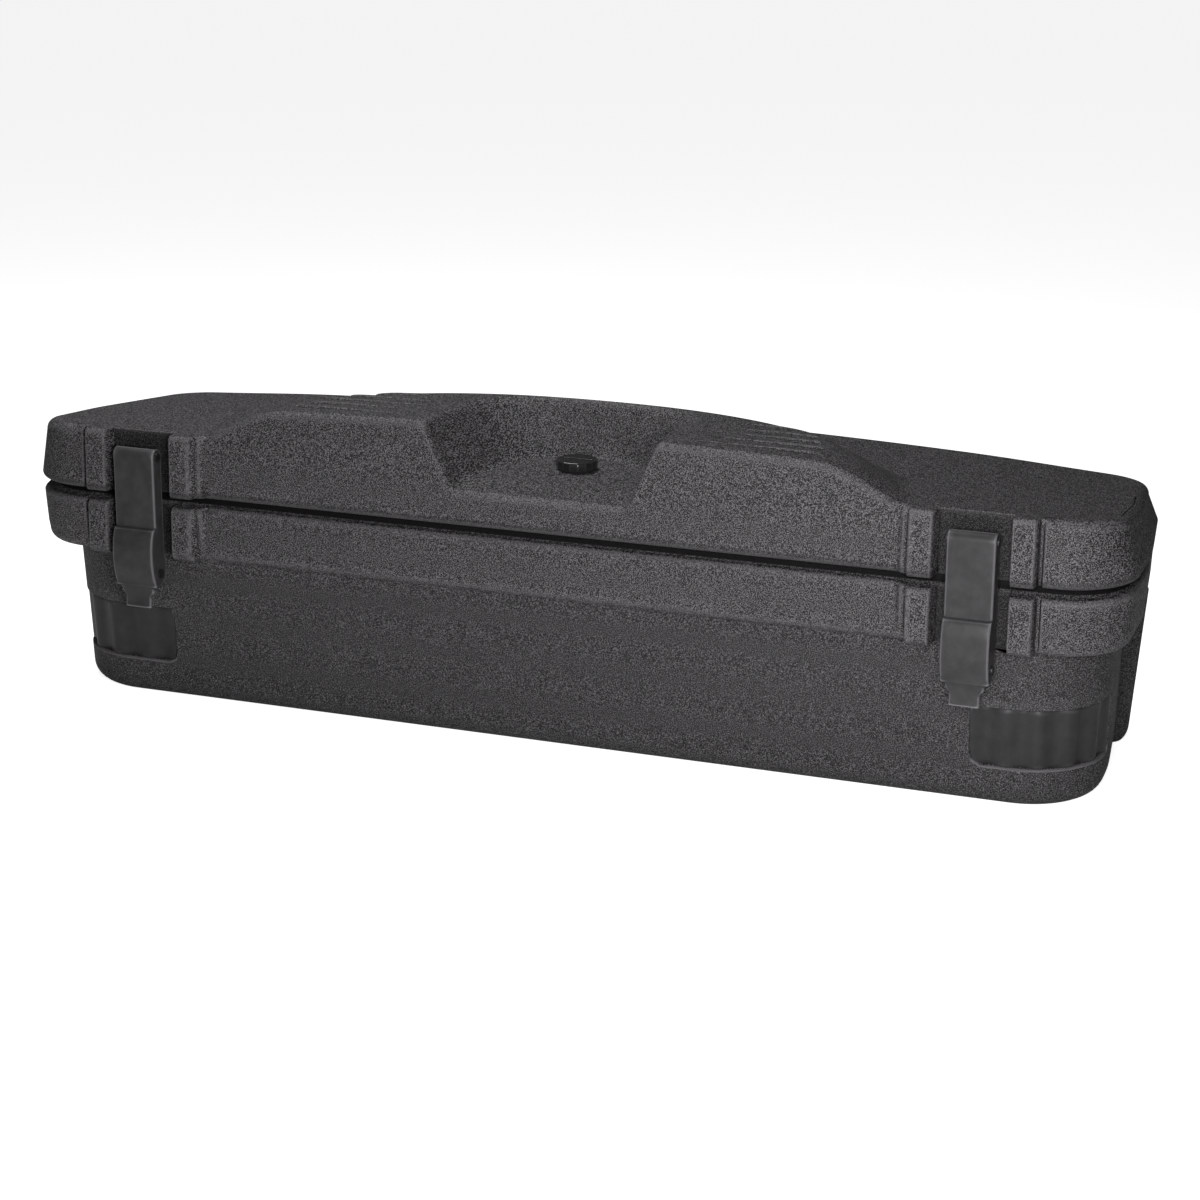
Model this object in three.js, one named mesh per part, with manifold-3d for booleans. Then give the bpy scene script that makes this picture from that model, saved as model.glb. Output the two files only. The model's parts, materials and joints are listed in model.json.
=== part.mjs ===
// A long moulded storage box for the rack of an all-terrain vehicle: a base, a hinged lid with a scooped
// pocket, two swinging latches, fluted corner guards, a plug in the pocket and three butt hinges.
// Millimetres. +X runs along the box, -Y is its front and +Z is up. The origin is under its middle.
import * as THREE from 'three';
import { mergeVertices } from 'three/addons/utils/BufferGeometryUtils.js';
import Module from 'manifold-3d';

const wasm = await Module();
wasm.setup();

// Sizes that several pieces share. Depths (front, rear, back) are measured back from the middle of the front.
const clearance = 0.3;
const overrun = 20;
const baseHeight = 185;
const seamGap = 8.5;

// The plan of the rim, where the lid and the base meet: half its length, its front and rear, its corners. The
// sides run straight back to the knee and then slant in a little towards the rear.
const rim = { half: 487, front: -4, rear: 260, knee: 110, slant: 0.12, frontRadius: 58, rearRadius: 44 };
const kneeRadius = 160;
const middlePanel = { inset: 178, depth: 4, draft: 3 };

// The band round the top of the base, and the base's body under it, drawn in from the rim.
const band = { height: 48, side: 2, sideDraft: 2, frontDraft: 4, topRadius: 5, lowRadius: 9 };
const bodyTop = { side: 20, front: 15, rear: 14, frontRadius: 72, rearRadius: 40 };
const bodyLow = { side: 24, front: 26, rear: 20, frontRadius: 66, rearRadius: 36 };
const body = { bottomRadius: 16, wall: 5, floor: 6 };
const leg = { inner: 69, start: 60, topSide: 3, topRear: 5, lowSide: 14, lowRear: 14, footRadius: 10 };

// The tongue of the base stands up into the lip of the lid, under the seal.
const tongue = { height: 12, side: 8.8, front: 17.3, rear: 6.8, wall: 5 };
const lip = { side: 8, front: 16.5, rear: 6, height: 9.5, radius: 4 };
const seal = { height: 5.2, width: 5 };

// The lid: its front shoulder, the fall of its top towards the rear, the drafts of its walls.
const lid = { shoulder: 54.5, fall: 0.085, sideDraft: 9, frontDraft: 3, rearDraft: 3, edgeRadius: 9, wall: 5 };
const boss = { footSide: 184, topSide: 235, footRear: 48, topRear: 88, height: 32, fall: 0.06, power: 2.4,
  steps: 24, edgeRadius: 7, draft: 4, embed: 14 };
const pocket = { sillHalf: 77, rimHalf: 103, sillHeight: 32, floorRear: 140, rimRear: 160, knee: 30,
  floorSlant: 0.2, rimSlant: 0.03, floorRadius: 38, rimRadius: 62 };
const strake = { count: 5, start: 27, pitch: 25, width: 15, height: 2.6, outerGap: 16, innerGap: 12, point: 9,
  slant: 3, least: 24 };

// The two latch stations: pillars beside a channel, with a narrow groove outside them.
const station = { inset: 121, channelHalf: 29.5, pillarWidth: 20, pillarFront: -10.5, channelBack: 8,
  grooveWidth: 5, grooveBack: 1, pillarRadius: 4, pillarDraft: 1.5 };

// The latch: a channel-section strap that hangs from a pin on the lid and snaps under a keeper on the base.
// Its levels are given one below the other, from the top of the base down to the end of the pull tab.
const latch = { half: 19.4, sheet: 2.4, pinBack: -6.5, pinAbove: 43, pinRadius: 2.5, curlRadius: 7,
  foldBelow: 20, foldStep: 3, bulgeBelow: 24, bulgeFront: -22, lowBelow: 28, lowFront: -14, tabHalf: 12.3,
  tabBelow: 19, tabFront: -13.5, lowFlangeBack: 3, rollerBack: -8.5, rollerBelow: 16.5,
  rollerRadius: 4.5, headRadius: 4, headHeight: 1.3 };
const bracket = { half: 13, plate: 2, barrelRadius: 4.2, lowBelow: 28, screwAbove: 23, screwPlace: 7.5 };
const keeper = { half: 13.5, plate: 2, topBelow: 14, screwAbove: -27, screwPlace: 7.5, noseAbove: 6,
  noseBack: -3.3, noseRadius: 1.5, bendAbove: 4.5 };
const latchScrew = { radius: 2, headRadius: 3.6, headHeight: 1.8, length: 8 };

// The fluted guards let into the lower front corners. Their faces lie behind the face of the body.
const guard = { inset: 122, sideRun: 2, low: 34, top: 85, depth: 12, set: 4, wave: 2.4, flutes: 5, steps: 8 };

// The plug in the floor of the pocket.
const plug = { back: 97, headRadius: 17.7, headHeight: 7.4, sides: 8, bevel: 1.4, washerRadius: 16.6,
  washerHeight: 1.4, shankRadius: 9, shankLength: 14, nutHalf: 15, nutHeight: 5, slotWidth: 2.6, slotDepth: 1.6 };

// The butt hinges on the rear, placed at shares of half the length of the rim.
const placeShares = [-0.616, 0, 0.616];
const hinge = { half: 32, leaf: 2, barrelRadius: 4, pinRadius: 1.8, lowReach: 24, highReach: 19, middleHalf: 10,
  screwPlace: 21, lowScrew: 15, highScrew: 12, headRadius: 3.2, headHeight: 1.5, screwRadius: 1.8,
  screwLength: 4.6, pinHeadRadius: 3, pinHead: 1.2 };

// Fineness of the faceted surfaces.
const cornerSteps = 7;
const kneeSteps = 2;
const edgeSteps = 3;
const roundSteps = 18;
const fastenerSteps = 12;
const quarter = Math.PI / 2;

// Heights of the parting line and of the sloping tops, and places that follow the rim.
const lidLow = baseHeight + seamGap;
const bandLow = baseHeight - band.height;
const shoulderRise = lidLow + lid.shoulder;
const lidTop = (y) => shoulderRise - lid.fall * y;
const bossTop = (y) => shoulderRise + boss.height - boss.fall * y;
const stationPlace = rim.half - station.inset;
const foldRise = baseHeight - latch.foldBelow;
const bulgeRise = foldRise - latch.bulgeBelow;
const lowRise = bulgeRise - latch.lowBelow;
const tabRise = lowRise - latch.tabBelow;
const pinPlace = [latch.pinBack, baseHeight + latch.pinAbove];
const rollerPlace = [latch.rollerBack, bulgeRise - latch.rollerBelow];
const noseRise = rollerPlace[1] + keeper.noseAbove;
const bendRise = noseRise + keeper.bendAbove;
const hingePlaces = placeShares.map((share) => share * rim.half);
const hingeAxis = { back: rim.rear + clearance + hinge.barrelRadius, rise: baseHeight + seamGap / 2 };

// A plan drawn in by the given amounts, with its corners kept concentric.
function inward(plan, side, front = side, rear = side) {
  return {
    half: plan.half - side,
    front: plan.front + front,
    rear: plan.rear - rear,
    knee: plan.knee - side * Math.tan(plan.slant / 2),
    slant: plan.slant,
    frontRadius: plan.frontRadius - side,
    rearRadius: plan.rearRadius - side,
  };
}

// The plan of the rim drawn in by the insets of a level of the body, with the corners of that level.
function insetPlan(level) {
  const plan = inward(rim, level.side, level.front, level.rear);
  return { ...plan, frontRadius: level.frontRadius, rearRadius: level.rearRadius };
}

// A plan between two others, or beyond them.
function between(low, high, share) {
  return Object.fromEntries(Object.keys(low).map((key) => [key, low[key] + (high[key] - low[key]) * share]));
}

// Points of an arc in plan, about a centre, between two angles measured from +X towards +Y.
function bend(x, y, radius, from, to, steps) {
  return Array.from({ length: steps + 1 }, (_, step) => {
    const angle = from + ((to - from) * step) / steps;
    return [x + radius * Math.cos(angle), y + radius * Math.sin(angle)];
  });
}

// The closed outline of a plan, anticlockwise from above, as a ring of points at a height that may vary with y.
function ring(plan, height) {
  const { half, front, rear, slant, frontRadius, rearRadius } = plan;
  const frontMiddle = front + frontRadius;
  const rearMiddle = rear - rearRadius;
  const kneeReach = kneeRadius * Math.tan(slant / 2);
  const knee = Math.max(plan.knee, frontMiddle + kneeReach + clearance);
  const rearSide = half - (rearRadius + (rearMiddle - knee) * Math.sin(slant)) / Math.cos(slant);
  const right = [
    ...bend(half - frontRadius, frontMiddle, frontRadius, -quarter, 0, cornerSteps),
    ...bend(half - kneeRadius, knee - kneeReach, kneeRadius, 0, slant, kneeSteps),
    ...bend(rearSide, rearMiddle, rearRadius, slant, quarter, cornerSteps),
  ];
  const left = right.map(([x, y]) => [-x, y]).reverse();
  const rise = typeof height === 'function' ? height : () => height;
  return [...right, ...left].map(([x, y]) => new THREE.Vector3(x, y, rise(y)));
}

// A closed surface through rings of equal count, each a ring of points, from the lowest to the highest.
function loft(rings) {
  const count = rings[0].length;
  const positions = rings.flat().flatMap((point) => [point.x, point.y, point.z]);
  const index = [];
  for (let level = 0; level + 1 < rings.length; level += 1) {
    for (let i = 0; i < count; i += 1) {
      const a = level * count + i;
      const b = level * count + ((i + 1) % count);
      index.push(a, b, b + count, a, b + count, a + count);
    }
  }
  const last = (rings.length - 1) * count;
  const flat = (points) => points.map((point) => new THREE.Vector2(point.x, point.y));
  for (const [a, b, c] of THREE.ShapeUtils.triangulateShape(flat(rings[0]), [])) {
    index.push(a, c, b);
  }
  for (const [a, b, c] of THREE.ShapeUtils.triangulateShape(flat(rings.at(-1)), [])) {
    index.push(last + a, last + b, last + c);
  }
  const geometry = new THREE.BufferGeometry();
  geometry.setAttribute('position', new THREE.Float32BufferAttribute(positions, 3));
  geometry.setIndex(index);
  return geometry;
}

// Rings of a quarter round edge: the plan draws in by the radius while the height changes by the rise given.
function roundedEdge(plan, height, radius, rise) {
  return Array.from({ length: edgeSteps }, (_, step) => {
    const angle = ((step + 1) / edgeSteps) * quarter;
    const level = typeof height === 'function'
      ? (y) => height(y) + rise * Math.sin(angle)
      : height + rise * Math.sin(angle);
    return ring(inward(plan, radius * (1 - Math.cos(angle))), level);
  });
}

// A solid for joining and cutting, from a closed surface.
function solid(geometry) {
  const bare = new THREE.BufferGeometry();
  bare.setAttribute('position', geometry.getAttribute('position').clone());
  if (geometry.index) bare.setIndex(geometry.index.clone());
  const merged = mergeVertices(bare);
  return new wasm.Manifold(new wasm.Mesh({
    numProp: 3,
    vertProperties: new Float32Array(merged.getAttribute('position').array),
    triVerts: new Uint32Array(merged.index.array),
  }));
}

// The surface of a joined or cut solid.
function surface(manifold) {
  const mesh = manifold.getMesh();
  const geometry = new THREE.BufferGeometry();
  geometry.setAttribute('position', new THREE.BufferAttribute(new Float32Array(mesh.vertProperties), 3));
  geometry.setIndex(new THREE.BufferAttribute(new Uint32Array(mesh.triVerts), 1));
  geometry.computeVertexNormals();
  return geometry;
}

const joined = (parts) => parts.reduce((whole, part) => whole.add(part));
const cut = (whole, parts) => parts.reduce((rest, part) => rest.subtract(part), whole);

// A box between two corners.
function block(x0, x1, y0, y1, z0, z1) {
  const geometry = new THREE.BoxGeometry(x1 - x0, y1 - y0, z1 - z0);
  geometry.translate((x0 + x1) / 2, (y0 + y1) / 2, (z0 + z1) / 2);
  return solid(geometry);
}

// A side profile, points of [y, z], extruded across the box from x0 to x1.
function across(points, x0, x1) {
  const shape = new THREE.Shape(points.map(([y, z]) => new THREE.Vector2(y, z)));
  const geometry = new THREE.ExtrudeGeometry(shape, { depth: x1 - x0, bevelEnabled: false });
  geometry.applyMatrix4(new THREE.Matrix4().makeBasis(
    new THREE.Vector3(0, 1, 0), new THREE.Vector3(0, 0, 1), new THREE.Vector3(1, 0, 0)));
  geometry.translate(x0, 0, 0);
  return solid(geometry);
}

// A round bar between two places on one axis.
function bar(radius, axis, from, to, [u, v], steps = roundSteps) {
  const geometry = new THREE.CylinderGeometry(radius, radius, to - from, steps);
  const middle = (from + to) / 2;
  if (axis === 'x') geometry.rotateZ(quarter).translate(middle, u, v);
  if (axis === 'y') geometry.translate(u, middle, v);
  if (axis === 'z') geometry.rotateX(quarter).translate(u, v, middle);
  return solid(geometry);
}

// A ribbon of sheet metal or plastic: the closed outline at a thickness to the left of a path of [y, z] points.
function ribbon(path, thickness) {
  const inner = path.map(([y, z], i) => {
    const [y0, z0] = path[Math.max(i - 1, 0)];
    const [y1, z1] = path[Math.min(i + 1, path.length - 1)];
    const length = Math.hypot(y1 - y0, z1 - z0);
    return [y - ((z1 - z0) / length) * thickness, z + ((y1 - y0) / length) * thickness];
  });
  return path.concat(inner.reverse());
}

// Points of an arc in the side view, about a centre, between two angles measured from +Y towards +Z.
function arc([y, z], radius, from, to, steps) {
  return Array.from({ length: steps + 1 }, (_, step) => {
    const angle = from + ((to - from) * step) / steps;
    return [y + radius * Math.cos(angle), z + radius * Math.sin(angle)];
  });
}

// The pillars, channels and grooves of the latch stations, between two heights, on the front of a moulding.
function withStations(moulding, low, high, roundTop) {
  const { channelHalf, pillarWidth, pillarFront, channelBack, grooveWidth, grooveBack } = station;
  const { pillarRadius, pillarDraft } = station;
  const radius = roundTop ? pillarRadius : band.topRadius;
  const pillar = [
    [middlePanel.depth + channelBack, low],
    [pillarFront + pillarRadius, low],
    ...arc([pillarFront + pillarRadius, low + pillarRadius], pillarRadius, 3 * quarter, 2 * quarter, edgeSteps),
    ...arc([pillarFront + pillarDraft + radius, high - radius], radius, 2 * quarter, quarter, edgeSteps),
    [middlePanel.depth + channelBack, high - lid.fall * pillarRadius],
  ];
  const outer = channelHalf + pillarWidth;
  const added = [];
  const removed = [];
  for (const side of [-1, 1]) {
    const place = side * stationPlace;
    added.push(across(pillar, place - outer, place + outer));
    const floor = low - overrun;
    const ceiling = high + overrun + boss.height;
    const ahead = pillarFront - overrun;
    removed.push(block(place - channelHalf, place + channelHalf, ahead, channelBack, floor, ceiling));
    const near = side > 0 ? place + outer : place - outer - grooveWidth;
    removed.push(block(near, near + grooveWidth, ahead, grooveBack, floor, ceiling));
  }
  return cut(joined([moulding, ...added]), removed);
}

// The wedge in front of the middle panel, which lies a little behind the corner panels.
function panelRecess(low, high) {
  const { inset, depth, draft } = middlePanel;
  const half = rim.half - inset;
  const back = rim.front + depth;
  const rise = (high - low) * (draft / lid.shoulder);
  const profile = [
    [back - overrun, low - overrun],
    [back, low - overrun],
    [back, low],
    [back + rise, high],
    [back + rise, high + overrun],
    [back - overrun, high + overrun],
  ];
  return across(profile, -half, half);
}

// The hollow of the base, from its floor to the mouth of its tongue.
function baseHollow() {
  const topPlan = insetPlan(bodyTop);
  const lowPlan = insetPlan(bodyLow);
  const mouth = inward(rim, tongue.side + tongue.wall, tongue.front + tongue.wall, tongue.rear + tongue.wall);
  return solid(loft([
    ring(inward(lowPlan, body.wall + body.bottomRadius / 2), body.floor),
    ring(inward(lowPlan, body.wall), body.floor + body.bottomRadius / 2),
    ring(inward(topPlan, body.wall), bandLow + body.wall),
    ring(mouth, bandLow + body.wall + clearance),
    ring(mouth, baseHeight + tongue.height + overrun),
  ]));
}

// The band round the top of the base, with the latch channels and the tongue that stands up into the lid.
function baseBand() {
  const bandTop = inward(rim, band.side, 0, 0);
  const bandFoot = inward(bandTop, band.sideDraft, band.frontDraft, 0);
  const bandBody = solid(loft([
    ring(inward(bandFoot, band.lowRadius), bandLow),
    ...roundedEdge(bandFoot, bandLow + band.lowRadius, band.lowRadius, -band.lowRadius).reverse().slice(1),
    ring(bandFoot, bandLow + band.lowRadius),
    ring(bandTop, baseHeight - band.topRadius),
    ...roundedEdge(bandTop, baseHeight - band.topRadius, band.topRadius, band.topRadius),
  ]));
  const tongueOuter = inward(rim, tongue.side, tongue.front, tongue.rear);
  const tongueTop = baseHeight + tongue.height;
  const upstand = solid(loft([ring(tongueOuter, bandLow + band.lowRadius), ring(tongueOuter, tongueTop)]));
  const fronted = withStations(bandBody.subtract(panelRecess(bandLow, baseHeight)), bandLow, baseHeight, false);
  return cut(fronted.add(upstand), [baseHollow(), ...keeperHoles(), ...hingeHoles(-1)]);
}

// The parts that the band is divided into at the outer faces of its pillars: a bay for each latch, the stretch
// of front between the bays, and the rest of the band round the ends and the rear.
function bandParts() {
  const whole = baseBand();
  const outer = station.channelHalf + station.pillarWidth;
  const ahead = rim.front - overrun;
  const behind = rim.front + tongue.front + tongue.wall + overrun;
  const window = (x0, x1) => block(x0, x1, ahead, behind, bandLow - overrun, baseHeight + overrun);
  const near = stationPlace - outer;
  const far = stationPlace + outer;
  return {
    left: whole.intersect(window(-far, -near)),
    right: whole.intersect(window(near, far)),
    front: whole.intersect(window(clearance - near, near - clearance)),
    ring: whole.subtract(window(-far - clearance, far + clearance)),
  };
}

// The body of the base, up to the underside of the band: its rounded bottom, rear legs and guard recesses.
function baseShell() {
  const topPlan = insetPlan(bodyTop);
  const lowPlan = insetPlan(bodyLow);
  const bodyBody = solid(loft([
    ...roundedEdge(lowPlan, body.bottomRadius, body.bottomRadius, -body.bottomRadius).reverse(),
    ring(lowPlan, body.bottomRadius),
    ring(topPlan, bandLow + band.lowRadius),
  ]));
  const legPlan = inward(rim, leg.lowSide, leg.lowSide, leg.lowRear);
  const legBody = solid(loft([
    ...roundedEdge(legPlan, leg.footRadius, leg.footRadius, -leg.footRadius).reverse(),
    ring(legPlan, leg.footRadius),
    ring(inward(rim, leg.topSide, leg.topSide, leg.topRear), bandLow + band.lowRadius),
  ]));
  const legs = [-1, 1].map((side) => {
    const inner = side * (rim.half - leg.inner);
    const outer = side * (rim.half + overrun);
    const window = block(Math.min(inner, outer), Math.max(inner, outer),
      rim.rear - leg.start, rim.rear + overrun, -overrun, bandLow - clearance);
    return legBody.intersect(window);
  });
  const hollow = cut(baseHollow(), [-1, 1].map((side) => cornerRecess(side, body.wall)));
  const recesses = [-1, 1].map((side) => cornerRecess(side, 0));
  const reach = rim.half + overrun;
  const above = block(-reach, reach, rim.front - overrun, rim.rear + overrun, bandLow - clearance, baseHeight);
  return surface(cut(joined([bodyBody, ...legs]), [hollow, above, ...recesses]));
}

// The plan of the body at a height.
function bodyPlan(rise) {
  const top = bandLow + band.lowRadius;
  const share = (rise - body.bottomRadius) / (top - body.bottomRadius);
  return between(insetPlan(bodyLow), insetPlan(bodyTop), share);
}

// A walk round the front corner of a plan, from a place on the front to a run along the side, at a share of its
// length.
function cornerWalk(plan, ends, share) {
  const { half, front, frontRadius } = plan;
  const along = half - frontRadius - ends.start;
  const turn = frontRadius * quarter;
  const distance = share * (along + turn + ends.run);
  if (distance < along) return new THREE.Vector2(ends.start + distance, front);
  if (distance < along + turn) {
    const angle = (distance - along) / frontRadius - quarter;
    return new THREE.Vector2(half - frontRadius + frontRadius * Math.cos(angle),
      front + frontRadius + frontRadius * Math.sin(angle));
  }
  return new THREE.Vector2(half, front + frontRadius + distance - along - turn);
}

// A strip round the front corner, between two depths behind the body's face; the outer face may be fluted.
function cornerStrip(side, rise, ends, outerDepth, innerDepth, wave) {
  const plan = bodyPlan(rise);
  const steps = guard.flutes * (wave ? guard.steps : edgeSteps);
  const outline = [];
  for (let step = 0; step <= steps; step += 1) {
    const share = step / steps;
    const ripple = wave * Math.sin(share * guard.flutes * 2 * quarter) ** 2;
    outline.push(cornerWalk(inward(plan, outerDepth + ripple), ends, share));
  }
  const innerSteps = guard.flutes * edgeSteps;
  for (let step = innerSteps; step >= 0; step -= 1) {
    outline.push(cornerWalk(inward(plan, innerDepth), ends, step / innerSteps));
  }
  const points = outline.map(({ x, y }) => new THREE.Vector3(side * x, y, rise));
  return side > 0 ? points : points.reverse();
}

// The recess that takes a corner guard, grown by a wall for the inside of the base.
function cornerRecess(side, wall) {
  const ends = { start: rim.half - guard.inset - wall, run: guard.sideRun + wall };
  const strip = (rise) => cornerStrip(side, rise, ends, -overrun, guard.depth + wall, 0);
  return solid(loft([strip(guard.low - wall), strip(guard.top + wall)]));
}

// A corner guard: a smooth strip with upright flutes, seated in its recess.
function cornerGuard(side) {
  const ends = { start: rim.half - guard.inset + clearance, run: guard.sideRun - clearance };
  const strip = (rise) => cornerStrip(side, rise, ends, guard.set, guard.depth - clearance, guard.wave);
  return surface(solid(loft([strip(guard.low + clearance), strip(guard.top - clearance)])));
}

// An outline of the boss: a straight front and a rounded rear, as a ring at a height that may vary with y.
function bossRing(half, front, rear, height) {
  return Array.from({ length: boss.steps + 1 }, (_, step) => {
    const angle = (step / boss.steps) * 2 * quarter;
    const along = Math.sign(Math.cos(angle)) * Math.abs(Math.cos(angle)) ** (2 / boss.power);
    const y = front + (rear - front) * Math.abs(Math.sin(angle)) ** (2 / boss.power);
    return new THREE.Vector3(half * along, y, height(y));
  });
}

// The solid of the boss, drawn in from its faces by a wall, so that the same form gives its outside and inside.
function bossForm(wall) {
  const front = rim.front + middlePanel.depth + (wall ? station.channelBack + wall : 0);
  const draft = wall ? 0 : boss.draft;
  const foot = (height) => {
    return bossRing(rim.half - boss.footSide - wall, front, rim.rear - boss.footRear - wall, height);
  };
  const edge = Array.from({ length: edgeSteps + 1 }, (_, step) => {
    const angle = (step / edgeSteps) * quarter;
    const drawn = boss.edgeRadius * (1 - Math.cos(angle));
    const drop = boss.edgeRadius * (1 - Math.sin(angle)) + wall;
    return bossRing(rim.half - boss.topSide - wall - drawn, front + draft + drawn,
      rim.rear - boss.topRear - wall - drawn, (y) => bossTop(y) - drop);
  });
  return solid(loft([foot((y) => lidTop(y) - boss.embed - wall), foot((y) => lidTop(y) - wall), ...edge]));
}

// The scoop of the pocket, open to the front and the top, grown by a wall for the underside of its floor.
function pocketForm(wall) {
  const level = (half, rear, slant, radius) => ({
    half: half + wall,
    front: rim.front - overrun,
    rear: rear + wall,
    knee: pocket.knee,
    slant,
    frontRadius: boss.edgeRadius,
    rearRadius: radius + wall,
  });
  const floor = level(pocket.sillHalf, pocket.floorRear, pocket.floorSlant, pocket.floorRadius);
  const brim = level(pocket.rimHalf, pocket.rimRear, pocket.rimSlant, pocket.rimRadius);
  const top = bossTop(0);
  return solid(loft([ring(floor, pocketFloor() - wall), ring(brim, top), ring(brim, top + overrun)]));
}

// Half the width of the top of the boss, and of the pocket at its rim, at a depth.
function bossEdge(y) {
  const front = rim.front + middlePanel.depth;
  const share = Math.min((y - front) / (rim.rear - boss.topRear - front), 1);
  return (rim.half - boss.topSide) * (1 - share ** boss.power) ** (1 / boss.power);
}

function pocketEdge(y) {
  const past = Math.min(Math.max(0, y - (pocket.rimRear - pocket.rimRadius)), pocket.rimRadius);
  const round = pocket.rimRadius - Math.sqrt(pocket.rimRadius ** 2 - past ** 2);
  return pocket.rimHalf - pocket.rimSlant * Math.max(0, y - pocket.knee) - round;
}

// The raised strakes beside the pocket: long low ridges with slanted outer ends, between the edges of the
// pocket and of the boss. One that would be too short is left out.
function strakes() {
  const ridges = [];
  for (let i = 0; i < strake.count; i += 1) {
    const near = strake.start + i * strake.pitch;
    const far = near + strake.width;
    const [inner, innerFar] = [near, far].map((y) => pocketEdge(y) + strake.innerGap);
    const [outer, outerFar] = [near, far].map((y) => bossEdge(y) - strake.outerGap);
    if (Math.min(outer, outerFar) - Math.max(inner, innerFar) < strake.least) continue;
    for (const side of [-1, 1]) {
      const section = (drawn, rise) => {
        const plan = [
          [inner + drawn, near + drawn],
          [outer - strake.point - drawn, near + drawn],
          [outerFar - drawn, far - drawn],
          [innerFar + drawn, far - drawn],
        ];
        const points = plan.map(([x, y]) => new THREE.Vector3(side * x, y, bossTop(y) + rise));
        return side > 0 ? points : points.reverse();
      };
      const levels = [section(0, -strake.height), section(0, 0), section(strake.slant / 2, strake.height)];
      ridges.push(solid(loft(levels)));
    }
  }
  return ridges;
}

// The lid moulding.
function lidShell() {
  const wallTop = inward(rim, lid.sideDraft, lid.frontDraft, lid.rearDraft);
  const edgeStart = (y) => lidTop(y) - lid.edgeRadius;
  const shell = solid(loft([
    ...roundedEdge(rim, lidLow + lip.radius, lip.radius, -lip.radius).reverse(),
    ring(rim, lidLow + lip.radius),
    ring(wallTop, edgeStart),
    ...roundedEdge(wallTop, edgeStart, lid.edgeRadius, lid.edgeRadius),
  ]));
  const bossWithRidges = joined([bossForm(0), ...strakes()]);
  const fronted = withStations(shell.subtract(panelRecess(lidLow, shoulderRise)), lidLow, shoulderRise, true);
  const faceLow = rim.front + middlePanel.depth;
  const face = across([
    [faceLow + boss.draft / 2, lidLow + lip.radius],
    [faceLow + boss.embed, lidLow + lip.radius],
    [faceLow + boss.embed, shoulderRise],
    [faceLow + boss.draft / 2, shoulderRise],
  ], boss.topSide - rim.half, rim.half - boss.topSide);
  const outside = joined([fronted, face, bossWithRidges]).subtract(pocketForm(0));
  const lipPlan = inward(rim, lip.side, lip.front, lip.rear);
  const ledgeWidth = seal.width + lip.radius / 2;
  const cavityLow = inward(rim, lip.side + ledgeWidth, lip.front + ledgeWidth, lip.rear + ledgeWidth);
  const cavityTop = inward(wallTop, lid.wall, lip.front + lid.wall, lid.wall + lid.edgeRadius / 2);
  const ledge = lidLow + lip.height;
  const inside = joined([
    solid(loft([ring(lipPlan, lidLow - overrun), ring(lipPlan, ledge)])),
    solid(loft([ring(cavityLow, ledge - overrun), ring(cavityTop, (y) => lidTop(y) - lid.wall)])),
    bossForm(lid.wall),
  ]);
  const hollow = inside.subtract(pocketForm(lid.wall));
  const plugHole = bar(plug.shankRadius + clearance, 'z', lidLow, bossTop(0), [0, plug.back]);
  return surface(cut(outside, [hollow, plugHole, ...bracketHoles(), ...hingeHoles(1)]));
}

// The seal under the ledge of the lid, over the tongue.
function lidSeal() {
  const outer = inward(rim, lip.side + clearance, lip.front + clearance, lip.rear + clearance);
  const inner = inward(outer, seal.width);
  const top = lidLow + lip.height - clearance;
  const low = top - seal.height;
  const outerBody = solid(loft([ring(outer, low), ring(outer, top)]));
  return surface(outerBody.subtract(solid(loft([ring(inner, low - overrun), ring(inner, top + overrun)]))));
}

// The outer face of a latch strap, from the curl over its pin down to the foot of the bulge.
function strapPath() {
  const face = latch.pinBack - latch.curlRadius;
  const mid = (foldRise + bulgeRise) / 2;
  const low = (bulgeRise + lowRise) / 2;
  const round = (latch.lowFront - latch.bulgeFront) / 2;
  return [
    ...arc(pinPlace, latch.curlRadius, quarter, 2 * quarter, 2 * edgeSteps),
    [face, foldRise + latch.foldStep],
    [face - latch.foldStep, foldRise],
    [latch.bulgeFront + latch.foldStep / 2, mid],
    [latch.bulgeFront, bulgeRise],
    [latch.bulgeFront + latch.foldStep / 2, low],
    [latch.bulgeFront + round, lowRise + latch.foldStep],
    [latch.lowFront, lowRise],
  ];
}

// A latch strap: curled sheet, two side flanges with pin holes, and a narrow pull tab.
function latchStrap(side) {
  const x = side * stationPlace;
  const path = strapPath();
  const sheet = across(ribbon(path, latch.sheet), x - latch.half, x + latch.half);
  const foot = path.at(-1);
  const tabMiddle = (lowRise + tabRise) / 2;
  const tabPath = [
    path.at(-2),
    foot,
    [latch.lowFront + latch.sheet, tabMiddle],
    [latch.tabFront, tabRise],
  ];
  const tab = across(ribbon(tabPath, latch.sheet), x - latch.tabHalf, x + latch.tabHalf);
  const lowCorner = [latch.lowFlangeBack - latch.curlRadius, rollerPlace[1]];
  const flange = [
    ...path.slice(0, -1),
    ...arc(lowCorner, latch.curlRadius, 3 * quarter, 4 * quarter, edgeSteps),
    [latch.lowFlangeBack, bulgeRise - latch.curlRadius],
    [latch.pinBack + latch.curlRadius, bulgeRise],
    ...arc(pinPlace, latch.curlRadius, 0, quarter, edgeSteps).slice(0, -1),
  ];
  const flanges = [-1, 1].map((end) => {
    const outer = x + end * latch.half;
    const inner = outer - end * latch.sheet;
    return across(flange, Math.min(inner, outer), Math.max(inner, outer));
  });
  const hole = latch.pinRadius + clearance;
  const holes = [pinPlace, rollerPlace].map((place) => {
    return bar(hole, 'x', x - latch.half - overrun, x + latch.half + overrun, place);
  });
  return surface(cut(joined([sheet, tab, ...flanges]), holes));
}

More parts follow.
